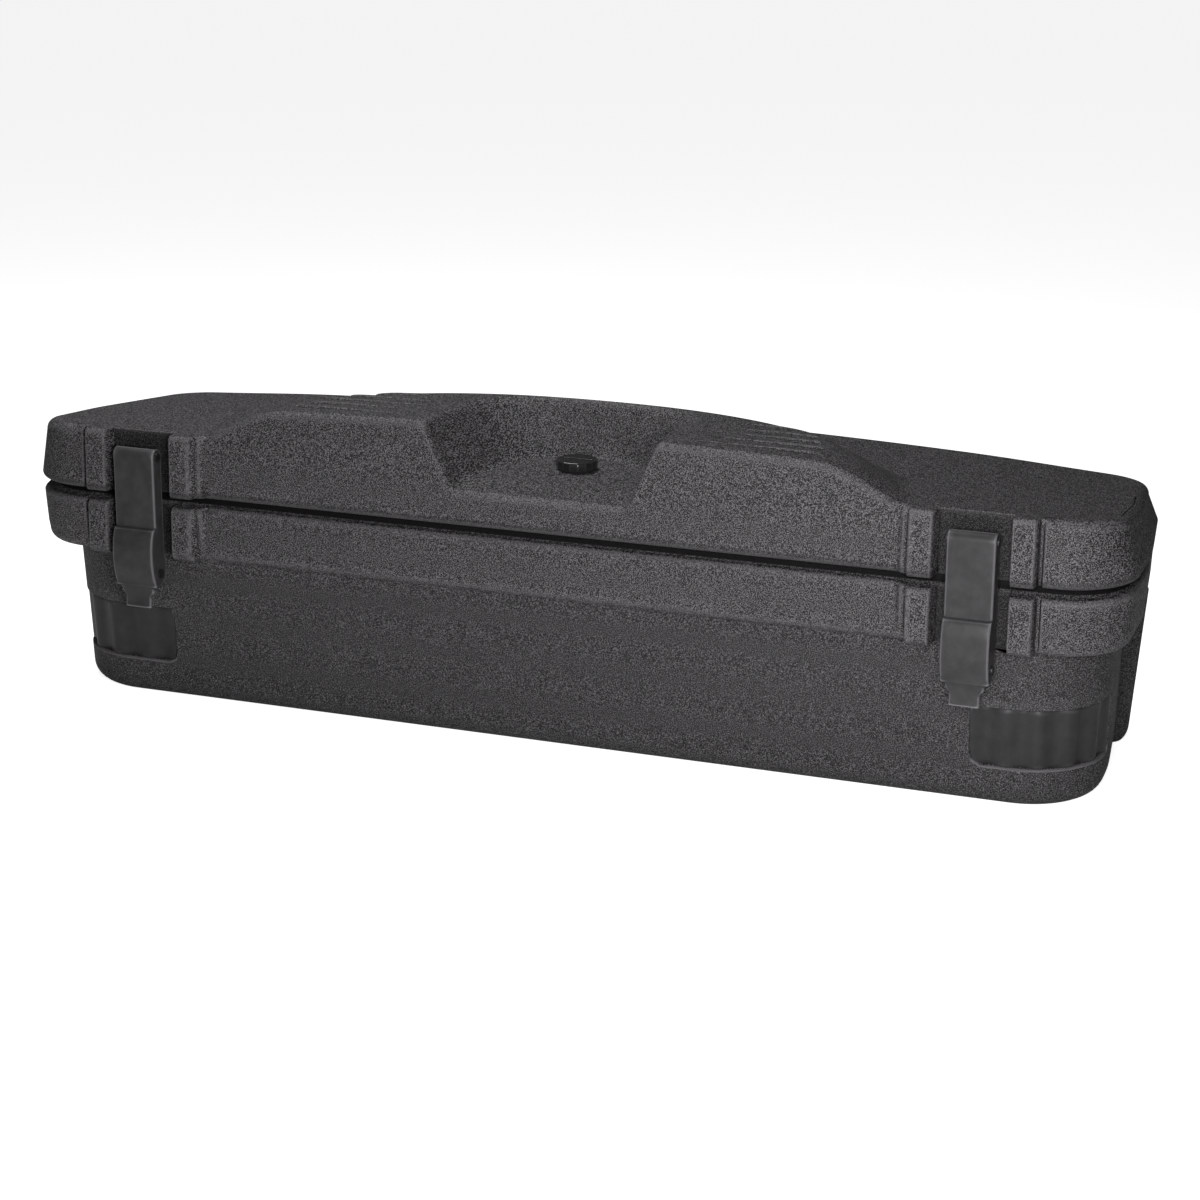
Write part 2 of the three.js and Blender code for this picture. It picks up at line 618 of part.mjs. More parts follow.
// A pin with a flat head at each end, outside the flanges of a strap.
function latchPin(side, place) {
  const x = side * stationPlace;
  const end = latch.half + clearance;
  const shank = bar(latch.pinRadius, 'x', x - end, x + end, place);
  const heads = [-1, 1].map((turn) => {
    const near = x + turn * end;
    const far = near + turn * latch.headHeight;
    return bar(latch.headRadius, 'x', Math.min(near, far), Math.max(near, far), place);
  });
  return surface(joined([shank, ...heads]));
}

// The roller on the lower pin, between the flanges.
function latchRoller(side) {
  const x = side * stationPlace;
  const end = latch.half - latch.sheet - clearance;
  const outer = bar(latch.rollerRadius, 'x', x - end, x + end, rollerPlace);
  const hole = bar(latch.pinRadius + clearance, 'x', x - end - overrun, x + end + overrun, rollerPlace);
  return surface(outer.subtract(hole));
}

// The bracket on the lid: a plate in the channel with a barrel for the upper pin, on a web under the barrel.
function latchBracket(side) {
  const x = side * stationPlace;
  const back = station.channelBack - clearance;
  const front = back - bracket.plate;
  const [pinBack, pinRise] = pinPlace;
  const plateLow = pinRise - bracket.lowBelow;
  const plateTop = pinRise - bracket.barrelRadius - 2 * bracket.plate;
  const tangent = bracket.barrelRadius * Math.SQRT1_2;
  const plate = across([
    [front, plateLow],
    [back, plateLow],
    [back, plateTop],
    [pinBack + tangent, pinRise - tangent],
    [pinBack, pinRise - bracket.barrelRadius + clearance],
    [front, plateTop - bracket.barrelRadius],
  ], x - bracket.half, x + bracket.half);
  const barrel = bar(bracket.barrelRadius, 'x', x - bracket.half, x + bracket.half, pinPlace);
  const reach = bracket.half + overrun;
  const bore = bar(latch.pinRadius + clearance, 'x', x - reach, x + reach, pinPlace);
  return surface(cut(barrel.add(plate), [bore, ...screwBores(x, bracket, front - overrun, back + overrun)]));
}

// The keeper on the base: a plate in the channel whose lower end turns out into a rounded nose.
function latchKeeper(side) {
  const x = side * stationPlace;
  const back = station.channelBack - clearance;
  const front = back - keeper.plate;
  const nose = [keeper.noseBack, noseRise];
  const path = [
    [front, baseHeight - keeper.topBelow],
    [front, bendRise + keeper.plate],
    [front - keeper.plate / 2, bendRise],
    [keeper.noseBack, noseRise + keeper.plate / 2],
  ];
  const plate = across(ribbon(path, keeper.plate), x - keeper.half, x + keeper.half);
  const tip = bar(keeper.noseRadius, 'x', x - keeper.half, x + keeper.half, nose);
  return surface(cut(plate.add(tip), screwBores(x, keeper, front - overrun, back + overrun)));
}

// Holes through a latch fitting, or into the wall behind it.
function screwBores(x, fitting, from, to) {
  return [-1, 1].map((end) => {
    const spot = [x + end * fitting.screwPlace, baseHeight + fitting.screwAbove];
    return bar(latchScrew.radius + clearance, 'y', from, to, spot, fastenerSteps);
  });
}

const bracketHoles = () => [-1, 1].flatMap((side) => wallBores(side, bracket));
const keeperHoles = () => [-1, 1].flatMap((side) => wallBores(side, keeper));

function wallBores(side, fitting) {
  const depth = station.channelBack + latchScrew.length;
  return screwBores(side * stationPlace, fitting, station.channelBack - overrun, depth);
}

// A screw of a latch fitting, its head on the plate and its shank in the wall.
function fittingScrew(side, end, fitting) {
  const seat = station.channelBack - 2 * clearance - fitting.plate;
  const place = [side * stationPlace + end * fitting.screwPlace, baseHeight + fitting.screwAbove];
  const tip = station.channelBack + latchScrew.length - clearance;
  const head = bar(latchScrew.headRadius, 'y', seat - latchScrew.headHeight, seat, place, fastenerSteps);
  return surface(head.add(bar(latchScrew.radius, 'y', seat, tip, place, fastenerSteps)));
}

// The plug in the pocket: a bevelled eight-sided head with a slot, and a shank through the floor.
function pocketFloor() {
  return lidLow + pocket.sillHeight;
}

function ventPlug() {
  const seat = pocketFloor() + plug.washerHeight + 2 * clearance;
  const top = seat + plug.headHeight;
  const profile = [
    [0, seat],
    [plug.headRadius - plug.bevel / 2, seat],
    [plug.headRadius, seat + plug.bevel],
    [plug.headRadius, top - plug.bevel],
    [plug.headRadius - plug.bevel, top],
    [0, top],
  ].map(([x, z]) => new THREE.Vector2(x, z));
  const head = new THREE.LatheGeometry(profile, 2 * plug.sides).rotateX(quarter).translate(0, plug.back, 0);
  const low = pocketFloor() - plug.shankLength;
  const shank = bar(plug.shankRadius, 'z', low, seat + plug.bevel, [0, plug.back]);
  const half = plug.slotWidth / 2;
  const reach = plug.headRadius - 2 * plug.bevel;
  const slot = block(-reach, reach, plug.back - half, plug.back + half, top - plug.slotDepth, top + overrun);
  return surface(solid(head).add(shank).subtract(slot));
}

function plugWasher() {
  const low = pocketFloor() + clearance;
  const outer = bar(plug.washerRadius, 'z', low, low + plug.washerHeight, [0, plug.back]);
  const hole = bar(plug.shankRadius + clearance, 'z', low - overrun, low + overrun, [0, plug.back]);
  return surface(outer.subtract(hole));
}

function plugNut() {
  const top = pocketFloor() - lid.wall - clearance;
  const outer = bar(plug.nutHalf, 'z', top - plug.nutHeight, top, [0, plug.back], 6);
  const hole = bar(plug.shankRadius + clearance, 'z', top - overrun, top + overrun, [0, plug.back]);
  return surface(outer.subtract(hole));
}

// A hinge leaf: up is 1 for the lid's leaf with the middle barrel, -1 for the base's leaf with the outer ones.
function hingeLeaf(x, up) {
  const { back, rise } = hingeAxis;
  const near = rim.rear + clearance;
  const far = near + hinge.leaf;
  const start = hinge.barrelRadius + 2 * clearance;
  const reach = up > 0 ? hinge.highReach : hinge.lowReach;
  const levels = [rise + up * start, rise + up * reach];
  const plate = block(x - hinge.half, x + hinge.half, near, far, Math.min(...levels), Math.max(...levels));
  const spans = up > 0
    ? [[x - hinge.middleHalf, x + hinge.middleHalf]]
    : [
      [x - hinge.half, x - hinge.middleHalf - clearance],
      [x + hinge.middleHalf + clearance, x + hinge.half],
    ];
  const barrels = spans.flatMap(([x0, x1]) => {
    const tie = [rise, rise + up * (start + hinge.leaf)];
    return [
      bar(hinge.barrelRadius, 'x', x0, x1, [back, rise], fastenerSteps),
      block(x0, x1, near, far, Math.min(...tie), Math.max(...tie)),
    ];
  });
  const ends = [x - hinge.half - overrun, x + hinge.half + overrun];
  const bore = bar(hinge.pinRadius + clearance, 'x', ...ends, [back, rise], fastenerSteps);
  return surface(cut(joined([plate, ...barrels]), [bore, ...hingeBores(x, up, near - overrun, far + overrun)]));
}

function hingeBores(x, up, from, to) {
  const level = hingeAxis.rise + up * (up > 0 ? hinge.highScrew : hinge.lowScrew);
  return [-1, 1].map((end) => {
    const spot = [x + end * hinge.screwPlace, level];
    return bar(hinge.screwRadius + clearance, 'y', from, to, spot, fastenerSteps);
  });
}

function hingeHoles(up) {
  return hingePlaces.flatMap((x) => hingeBores(x, up, rim.rear - hinge.screwLength, rim.rear + overrun));
}

function hingePin(x) {
  const place = [hingeAxis.back, hingeAxis.rise];
  const end = hinge.half + clearance;
  const shank = bar(hinge.pinRadius, 'x', x - end, x + end, place, fastenerSteps);
  const heads = [-1, 1].map((turn) => {
    const near = x + turn * end;
    const far = near + turn * hinge.pinHead;
    return bar(hinge.pinHeadRadius, 'x', Math.min(near, far), Math.max(near, far), place, fastenerSteps);
  });
  return surface(joined([shank, ...heads]));
}

function hingeScrew(x, up, end) {
  const seat = rim.rear + hinge.leaf + 2 * clearance;
  const level = hingeAxis.rise + up * (up > 0 ? hinge.highScrew : hinge.lowScrew);
  const place = [x + end * hinge.screwPlace, level];
  const tip = rim.rear - hinge.screwLength + clearance;
  const head = bar(hinge.headRadius, 'y', seat, seat + hinge.headHeight, place, fastenerSteps);
  return surface(head.add(bar(hinge.screwRadius, 'y', tip, seat, place, fastenerSteps)));
}

const finishes = {
  moulding: { color: '#3a393a', roughness: 0.62, metalness: 0 },
  guard: { color: '#3e3c3e', roughness: 0.42, metalness: 0 },
  strap: { color: '#4a494a', roughness: 0.4, metalness: 0 },
  rubber: { color: '#161616', roughness: 0.85, metalness: 0 },
  plug: { color: '#161617', roughness: 0.25, metalness: 0 },
  steel: { color: '#3b3b3c', roughness: 0.4, metalness: 0.8 },
};

const box = new THREE.Group();

function place(name, geometry, finish) {
  const mesh = new THREE.Mesh(geometry, new THREE.MeshStandardMaterial(finishes[finish]));
  mesh.name = name;
  box.add(mesh);
}

place('base_shell', baseShell(), 'moulding');
const bandPieces = bandParts();
place('base_band', surface(bandPieces.ring), 'moulding');
place('base_band_front', surface(bandPieces.front), 'moulding');
place('latch_bay_left', surface(bandPieces.left), 'moulding');
place('latch_bay_right', surface(bandPieces.right), 'moulding');
place('lid_shell', lidShell(), 'moulding');
place('lid_seal', lidSeal(), 'rubber');
for (const [name, side] of [['left', -1], ['right', 1]]) {
  place(`corner_guard_${name}`, cornerGuard(side), 'guard');
  place(`latch_strap_${name}`, latchStrap(side), 'strap');
  place(`latch_hinge_pin_${name}`, latchPin(side, pinPlace), 'steel');
  place(`latch_cross_pin_${name}`, latchPin(side, rollerPlace), 'steel');
  place(`latch_roller_${name}`, latchRoller(side), 'steel');
  place(`latch_bracket_${name}`, latchBracket(side), 'steel');
  place(`latch_keeper_${name}`, latchKeeper(side), 'steel');
  for (const [hand, end] of [['a', -1], ['b', 1]]) {
    place(`bracket_screw_${name}_${hand}`, fittingScrew(side, end, bracket), 'steel');
    place(`keeper_screw_${name}_${hand}`, fittingScrew(side, end, keeper), 'steel');
  }
}
place('vent_plug', ventPlug(), 'plug');
place('plug_washer', plugWasher(), 'rubber');
place('plug_nut', plugNut(), 'steel');
hingePlaces.forEach((x, i) => {
  place(`hinge_base_leaf_${i + 1}`, hingeLeaf(x, -1), 'steel');
  place(`hinge_lid_leaf_${i + 1}`, hingeLeaf(x, 1), 'steel');
  place(`hinge_pin_${i + 1}`, hingePin(x), 'steel');
  for (const [hand, end] of [['a', -1], ['b', 1]]) {
    place(`hinge_base_screw_${i + 1}${hand}`, hingeScrew(x, -1, end), 'steel');
    place(`hinge_lid_screw_${i + 1}${hand}`, hingeScrew(x, 1, end), 'steel');
  }
});

// The box stands with the middle of its overall depth over the origin.
const extent = new THREE.Box3().setFromObject(box);
box.position.y = -(extent.min.y + extent.max.y) / 2;

const part = new THREE.Group();
part.add(box);

export default part;
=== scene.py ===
# %% [markdown]
# This lesson dresses a long moulded storage box for the rack of an all-terrain vehicle. The CAD part gives
# the solids and how they move, and stays as a fixed frame. Each large moulding gets a finer surface here,
# worked out in numpy and laid where its solid lies, and every piece gets a finish of its own.

# %% Load the CAD part
import json
import math

import bpy
import numpy as np
from mathutils import Matrix


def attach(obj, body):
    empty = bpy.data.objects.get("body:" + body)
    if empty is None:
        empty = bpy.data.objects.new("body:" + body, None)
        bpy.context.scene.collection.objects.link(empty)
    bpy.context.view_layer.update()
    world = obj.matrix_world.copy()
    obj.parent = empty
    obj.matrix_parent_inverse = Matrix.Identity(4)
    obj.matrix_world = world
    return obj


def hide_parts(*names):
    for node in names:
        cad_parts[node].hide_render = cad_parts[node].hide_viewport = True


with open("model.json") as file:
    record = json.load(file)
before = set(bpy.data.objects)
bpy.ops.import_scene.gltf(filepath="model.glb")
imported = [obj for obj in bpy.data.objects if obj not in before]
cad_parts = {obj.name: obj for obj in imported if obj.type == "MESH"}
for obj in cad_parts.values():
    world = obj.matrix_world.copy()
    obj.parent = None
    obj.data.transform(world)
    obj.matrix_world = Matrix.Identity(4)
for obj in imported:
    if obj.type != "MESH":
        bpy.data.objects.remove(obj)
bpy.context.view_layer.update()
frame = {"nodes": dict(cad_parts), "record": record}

MM = 0.001
HANDS = ((-1, "left"), (1, "right"))
nodes = frame["nodes"]

# %% [markdown]
# The camera stands to the right of the box, well above it and about 2.4 metres from its middle, with a long
# lens. Its three axes are worked out from a turn, a dip and a slight roll, so the frame needs no shift.

# %% Camera
YAW = math.radians(20.05)
DIP = math.radians(17.05)
ROLL = math.radians(-0.35)
LENS, SENSOR_WIDTH = 82.02, 36
CAMERA_PLACE = np.array([792.5, -2138.55, 801.2]) * MM


def camera_axes(yaw, dip, roll):
    """The right, up and back directions of a camera that looks along +Y, turned left by yaw,
    dipped down and rolled; each is a column of the result."""
    forward = np.array([-math.sin(yaw) * math.cos(dip), math.cos(yaw) * math.cos(dip), -math.sin(dip)])
    level = np.array([math.cos(yaw), math.sin(yaw), 0.0])
    down = np.cross(forward, level)
    right = math.cos(roll) * level + math.sin(roll) * down
    up = math.sin(roll) * level - math.cos(roll) * down
    return np.column_stack([right, up, -forward])


camera_data = bpy.data.cameras.new("camera")
camera_data.lens = LENS
camera_data.sensor_width = SENSOR_WIDTH
camera = bpy.data.objects.new("camera", camera_data)
placement = np.eye(4)
placement[:3, :3] = camera_axes(YAW, DIP, ROLL)
placement[:3, 3] = CAMERA_PLACE
camera.matrix_world = Matrix(placement.tolist())
bpy.context.scene.collection.objects.link(camera)
bpy.context.scene.camera = camera
print("camera at", [round(float(v), 3) for v in CAMERA_PLACE])

# %% [markdown]
# The shapes below are built from a few small functions: lines spread between stops, a smooth step, and a
# soft maximum and minimum that join two surfaces with a rounded edge, as a moulding does. Lengths are in
# millimetres until a mesh is made, and depths are measured back from the front.


# %% Small functions for shapes
def spaced(stops):
    """Places from the first stop to the last. A stop is a place and the step that follows it, and the last
    step isn't used."""
    spans = [np.linspace(a, b, max(1, round((b - a) / step)) + 1)[:-1]
             for (a, step), (b, _) in zip(stops, stops[1:])]
    return np.concatenate([*spans, [stops[-1][0]]])


def filled(places, multiple, others=0):
    """The places with more in the middle of the widest gaps, until gaps and others make a multiple."""
    while (len(places) - 1 + others) % multiple:
        widest = int(np.argmax(np.diff(places)))
        places = np.insert(places, widest + 1, places[widest:widest + 2].mean())
    return places


def quarter_turn(steps):
    """Angles from 0 to a right angle in equal steps, with both ends."""
    return np.linspace(0, math.pi / 2, steps + 1)


def ease(low, high, value):
    """A smooth step: 0 below low, 1 above high, 3t^2 - 2t^3 between them."""
    share = np.clip((value - low) / (high - low), 0, 1)
    return share * share * (3 - 2 * share)


def within(low, high, blur, value):
    """1 between low and high, 0 outside, eased over the blur."""
    return ease(low - blur / 2, low + blur / 2, value) * (1 - ease(high - blur / 2, high + blur / 2, value))


def soft_max(a, b, width):
    """The larger of two values, rounded where they differ by less than the width."""
    share = np.clip(0.5 + (a - b) / (2 * width), 0, 1)
    return b + (a - b) * share + width * share * (1 - share)


def soft_min(a, b, width):
    """The smaller of two values, rounded where they differ by less than the width."""
    return -soft_max(-a, -b, width)


def at_height(places, height):
    """Points from places in plan: each gets a height of its own, or all get the same one."""
    return np.concatenate([places, np.broadcast_to(height, places.shape[:-1])[..., None]], -1)


# %% [markdown]
# Both mouldings share one lattice of lines. Its columns run along the straight front and turn round the
# corners; its rows run along the sides. A level is a rounded rectangle, and a ring is its outline, one
# point for each line. Columns out to HOLD keep their place at every level, so that the latch channels run
# straight up. The hidden side of a moulding needs only one line in SPARSE.

# %% Lattice of the mouldings
RIM = {"half": 487.0, "front": -4.0, "rear": 260.0, "front_radius": 58.0, "rear_radius": 44.0}
STRAIGHT = RIM["half"] - RIM["front_radius"]
HOLD = 365.0
CORNER_LINES = 14
SPARSE = 4


def inward(level, side, front=None, rear=None):
    """A level drawn in from its sides, front and rear, with its corners kept concentric."""
    front = side if front is None else front
    rear = side if rear is None else rear
    return {"half": level["half"] - side, "front": level["front"] + front, "rear": level["rear"] - rear,
            "front_radius": level["front_radius"] - side, "rear_radius": level["rear_radius"] - side}


def mix_levels(low, high, share):
    """A level between two others."""
    return {key: low[key] + (high[key] - low[key]) * share for key in low}


class Lattice:
    """Columns with signed places and corner angles, and rows as shares of the side."""

    def __init__(self, half_places, rows):
        turns = quarter_turn(CORNER_LINES)[1:]
        half_places = filled(half_places, SPARSE // 2, len(turns))
        place = np.concatenate([half_places, np.full(len(turns), half_places[-1])])
        angle = np.concatenate([np.zeros(len(half_places)), turns])
        self.place = np.concatenate([-place[:0:-1], place])
        self.angle = np.concatenate([-angle[:0:-1], angle])
        self.rows = filled(rows, SPARSE)

    def border(self, level, name):
        """The front or rear border of a level, and its outward normals: straight, then round the corners."""
        radius = level[name + "_radius"]
        side, turn, place = np.sign(self.place), np.abs(self.angle), np.abs(self.place)
        end = level["half"] - radius
        place = np.where(place > HOLD, HOLD + (place - HOLD) * (end - HOLD) / (STRAIGHT - HOLD), place)
        facing = -1 if name == "front" else 1
        x = side * (place + radius * np.sin(turn))
        y = level[name] - facing * radius * (1 - np.cos(turn))
        return np.column_stack([x, y]), np.column_stack([side * np.sin(turn), facing * np.cos(turn)])

    def ring(self, level):
        """The outline of a level as points and normals: front, right side, rear and left side."""
        front, front_normal = self.border(level, "front")
        rear, rear_normal = self.border(level, "rear")
        share = self.rows[1:-1, None]
        right = front[-1] + (rear[-1] - front[-1]) * share
        left = front[0] + (rear[0] - front[0]) * share
        ones, zeros = np.ones(len(share)), np.zeros(len(share))
        points = np.concatenate([front, right, rear[::-1], left[::-1]])
        normals = np.concatenate([front_normal, np.column_stack([ones, zeros]), rear_normal[::-1],
                                  np.column_stack([-ones, zeros])])
        return points, normals

    def straight_front(self, rim):
        """True for the points of the rim's ring that lie on the straight of the front."""
        return (np.arange(len(rim)) < len(self.place)) & (np.abs(rim[:, 0]) <= STRAIGHT)

    def sheet(self, ring):
        """A sheet of rows between the front and rear borders of a ring, its own border kept."""
        wide, rows = len(self.place), len(self.rows)
        front, rear = ring[:wide], ring[wide + rows - 2:2 * wide + rows - 2][::-1]
        sheet = front[None] + (rear - front)[None] * self.rows[:, None, None]
        sheet[1:-1, -1] = ring[wide:wide + rows - 2]
        sheet[1:-1, 0] = ring[2 * wide + rows - 2:][::-1]
        return sheet


# %% [markdown]
# Seen from above, the real box narrows towards its rear behind a soft knee in its sides. One function draws
# the finished points of both mouldings in, so that the lattice itself can stay square.

# %% Slant of the sides
KNEE, KNEE_BLUR = 110.0, 12.0
SLANT, SLANT_START = 0.12, 300.0


def drawn_in(points):
    """Slants the sides in behind the knee: x moves by the slant times a rounded ramp of the depth past it."""
    past = points[..., 1] - KNEE
    ramp = (past + np.sqrt(past * past + KNEE_BLUR ** 2)) / 2
    share = ease(SLANT_START, STRAIGHT, np.abs(points[..., 0]))
    moved = points.copy()
    moved[..., 0] -= np.sign(points[..., 0]) * SLANT * ramp * share
    return moved


# %% [markdown]
# A moulding is a closed shell: a top sheet, rings that walk down and in from its border, and an under
# sheet. Neighbouring lines are joined by four-sided faces, worked out from grids of vertex numbers.


# %% Faces between sheets and rings
def numbered(grid, first=0):
    """The vertex numbers of a grid of points, from a first one on."""
    return first + np.arange(grid[..., 0].size).reshape(grid.shape[:2])


def quads(index):
    """Faces between the rows and columns of a grid of vertex numbers."""
    return np.stack([index[:-1, :-1], index[:-1, 1:], index[1:, 1:], index[1:, :-1]], -1).reshape(-1, 4)


def border_of(index):
    """The numbers round the border of a grid, in the order of a ring."""
    return np.concatenate([index[0], index[1:-1, -1], index[-1, ::-1], index[-2:0:-1, 0]])


def shell(top, rings, under):
    """Points and faces of a closed shell: a top sheet, rings of points from its border down and in, and a
    sparse under sheet. Each point on the border of the under sheet takes a fan of the last ring."""
    top_index = numbered(top)
    ring_index = numbered(rings, top_index.size)
    under_index = numbered(under, top_index.size + ring_index.size)
    loops = np.concatenate([border_of(top_index)[None], ring_index])
    loops = np.concatenate([loops, loops[:, :1]], 1)
    last, middle = loops[-1], SPARSE // 2
    sparse = border_of(under_index)
    following = np.roll(sparse, -1)
    fans = [np.stack([last[i:-1:SPARSE], sparse if i < middle else following, last[i + 1::SPARSE]], -1)
            for i in range(SPARSE)]
    fans.append(np.stack([last[middle:-1:SPARSE], sparse, following], -1))
    groups = [quads(top_index), quads(loops)[:, ::-1], *fans, quads(under_index)[:, ::-1]]
    points = np.concatenate([part.reshape(-1, 3) for part in (top, rings, under)])
    return points, [face for group in groups for face in group.tolist()]


# %% [markdown]
# A mesh is made from points and faces with from_pydata. The frame's origin lies under the middle of the
# box, so the points are moved forward by a shift. A piece also keeps how round it is at each point, for its
# finish.

# %% Meshes and pieces
DEPTH_SHIFT = -123.15
LEAST_SQUARE = 0.01
pieces = []


def signed_volume(mesh):
    """Six times the volume inside a closed mesh: the sum of a.(b x c) over its triangles."""
    mesh.calc_loop_triangles()
    corners = np.empty(len(mesh.loop_triangles) * 3, int)
    mesh.loop_triangles.foreach_get("vertices", corners)
    place = np.empty(len(mesh.vertices) * 3)
    mesh.vertices.foreach_get("co", place)
    a, b, c = place.reshape(-1, 3)[corners].reshape(-1, 3, 3).transpose(1, 0, 2)
    return float((a * np.cross(b, c)).sum())


def mark_edges(mesh):
    """Keeps how round each place is, per mm: the mean over its edges of
    (normal_a - normal_b).(a - b) / length^2. It is above 0 on an outer edge and below 0 in a hollow. The
    squared length counts as LEAST_SQUARE at least."""
    count = len(mesh.vertices)
    place, normal = np.empty(count * 3), np.empty(count * 3)
    mesh.vertices.foreach_get("co", place)
    mesh.vertices.foreach_get("normal", normal)
    place, normal = place.reshape(-1, 3), normal.reshape(-1, 3)
    ends = np.empty(len(mesh.edges) * 2, int)
    mesh.edges.foreach_get("vertices", ends)
    a, b = ends.reshape(-1, 2).T
    along = (place[a] - place[b]) / MM
    bend = ((normal[a] - normal[b]) * along).sum(1)
    bend /= np.maximum((along * along).sum(1), LEAST_SQUARE)
    meeting = np.bincount(a, minlength=count) + np.bincount(b, minlength=count)
    total = np.bincount(a, bend, count) + np.bincount(b, bend, count)
    roundness = mesh.attributes.new("roundness", "FLOAT", "POINT")
    roundness.data.foreach_set("value", total / np.maximum(meeting, 1))


def piece(name, points, faces, body, slot, replaced, crease=None):
    """Makes an object from points in millimetres, with its faces outwards, and ties it to a body of the part.
    It takes the place of the replaced solids, and the slot says its finish."""
    mesh = bpy.data.meshes.new(name)
    placed = np.asarray(points, float) + [0.0, DEPTH_SHIFT, 0.0]
    mesh.from_pydata((placed * MM).tolist(), [], faces)
    mesh.update()
    if signed_volume(mesh) < 0:
        mesh.flip_normals()
    mesh.shade_smooth()
    if crease:
        mesh.set_sharp_from_angle(angle=math.radians(crease))
    mark_edges(mesh)
    made = bpy.data.objects.new(name, mesh)
    bpy.context.scene.collection.objects.link(made)
    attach(made, body)
    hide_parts(*replaced)
    pieces.append((made, slot))
    print(name, len(mesh.vertices), "points,", sum(len(face) - 2 for face in faces), "triangles")
    return made


# %% [markdown]
# The lid of the real box is rotomoulded: powder melts inside a turning mould, so every edge is round and
# every wall has draft. Its top is a height over the plan, which falls and bends down a little to the rear.
# A boss with a broad rounded rear stands on it, and a soft minimum scoops the pocket out of the boss.

# %% Heights over the lid
BASE_TOP = 185.0
LID_LOW = 193.5
SHOULDER = 248.0
FALL, CROWN = 0.033, 0.071
BOSS = {"half": 252.0, "rear": 172.0, "foot": 1.205, "power": 2.4, "top": 280.6, "bow": 8.4e-5, "fall": 0.055,
        "foot_blend": 0.16, "top_blend": 0.42}
POCKET = {"floor": 225.5, "sill": 223.0, "floor_half": 77.0, "rim_half": 103.0, "floor_rear": 140.0,
          "rim_rear": 160.0, "knee": 30.0, "floor_slant": 0.2, "rim_slant": 0.03, "floor_round": 46.0,
          "rim_round": 62.0, "floor_blend": 5.0, "rim_blend": 6.0, "least_run": 5.0}
POCKET_RAMP = (6.0, 40.0)
STRAKE_FRONTS = np.array([30.0, 53.0, 75.0, 97.0, 121.0])
STRAKE_ENDS = np.array([233.0, 228.0, 221.0, 212.0, 199.0])
STRAKE = {"height": 2.5, "rise": 1.2, "reach": 13.0, "inner": 2.0, "fade": 130.0, "cut": 1.5, "lean": 0.35}


def shoulder_height(x, y):
    """The plain top of the lid: its fall to the rear grows with the square of x."""
    return SHOULDER - (FALL + CROWN * (x / RIM["half"]) ** 2) * y


def outside_of(x, y, half, rear, slant, rounding):
    """How far a place lies outside a scoop, which narrows by a slant behind its knee and has round rear
    corners."""
    side = np.abs(x) - (half - slant * np.maximum(y - POCKET["knee"], 0))
    back = y - rear
    a, b = np.maximum(side + rounding, 0), np.maximum(back + rounding, 0)
    return np.minimum(np.maximum(side, back) + rounding, 0) + np.hypot(a, b) - rounding


def strakes(x, y):
    """Five low shingles each side of the pocket: each rises at its front line, falls away behind it, fades
    towards the pocket and is cut off at a slant at its outer end."""
    height = np.zeros_like(x)
    inner = POCKET["rim_half"] + STRAKE["inner"]
    for front, end in zip(STRAKE_FRONTS, STRAKE_ENDS):
        behind = y - front
        step = ease(0, STRAKE["rise"], behind) * (1 - np.clip(behind / STRAKE["reach"], 0, 1))
        edge = end - STRAKE["lean"] * behind
        cut_off = 1 - ease(edge - STRAKE["cut"], edge, np.abs(x))
        height = height + STRAKE["height"] * step * cut_off * ease(inner, inner + STRAKE["fade"], np.abs(x))
    return height


def lid_height(x, y):
    """The height of the lid's outer surface at a place in plan: a share of the way from the plain top to the
    boss, or in the pocket that of its floor and of its wall, which climbs from the floor to the rim."""
    plain = shoulder_height(x, y)
    reach = ((np.abs(x) / BOSS["half"]) ** BOSS["power"] + (np.abs(y) / BOSS["rear"]) ** BOSS["power"])
    reach = reach ** (1 / BOSS["power"])
    share = (BOSS["foot"] - reach) / (BOSS["foot"] - 1)
    share = soft_min(soft_max(share, 0 * share, BOSS["foot_blend"]), 1 + 0 * share, BOSS["top_blend"])
    top = BOSS["top"] - BOSS["bow"] * x * x - BOSS["fall"] * y + strakes(x, y)
    boss = plain + (top - plain) * share
    low, high = (outside_of(x, y, *(POCKET[f"{name}_{part}"] for part in ("half", "rear", "slant", "round")))
                 for name in ("floor", "rim"))
    floor = POCKET["sill"] + (POCKET["floor"] - POCKET["sill"]) * ease(*POCKET_RAMP, y)
    wall = floor + (top - floor) * low / np.maximum(low - high, POCKET["least_run"])
    return soft_min(boss, soft_max(floor, wall, POCKET["floor_blend"]), POCKET["rim_blend"])


# %% [markdown]
# The front of both mouldings has the same upright features: a middle panel set back a little, two pillars
# beside each latch, the deep channel between them and a narrow groove outside. One function gives the depth
# of the front at each place along it, and eased steps give the pillars their rounded edges.

# %% Depth of the front
PANEL_EDGE, PANEL_BLUR = 307.0, 5.0
PILLARS = (314.0, 415.5)
CHANNEL = (334.5, 395.5)
GROOVE = (415.5, 420.5)
PILLAR_FACE, PILLAR_DRAFT = -10.5, 1.5
CHANNEL_BACK, GROOVE_BACK = 8.0, 1.0
EDGE_BLUR = 2.6


def front_depth(x, middle, corner, share):
    """Depth of the front at x, for the depths of the middle and corner panels and a share of the height."""
    place = np.abs(x)
    depth = middle + (corner - middle) * ease(PANEL_EDGE - PANEL_BLUR / 2, PANEL_EDGE + PANEL_BLUR / 2, place)
    pillar = PILLAR_FACE + PILLAR_DRAFT * share
    depth = depth + (pillar - depth) * within(*PILLARS, EDGE_BLUR, place)
    depth = depth + (CHANNEL_BACK - depth) * within(*CHANNEL, EDGE_BLUR, place)
    return depth + (GROOVE_BACK - depth) * within(*GROOVE, EDGE_BLUR / 2, place)


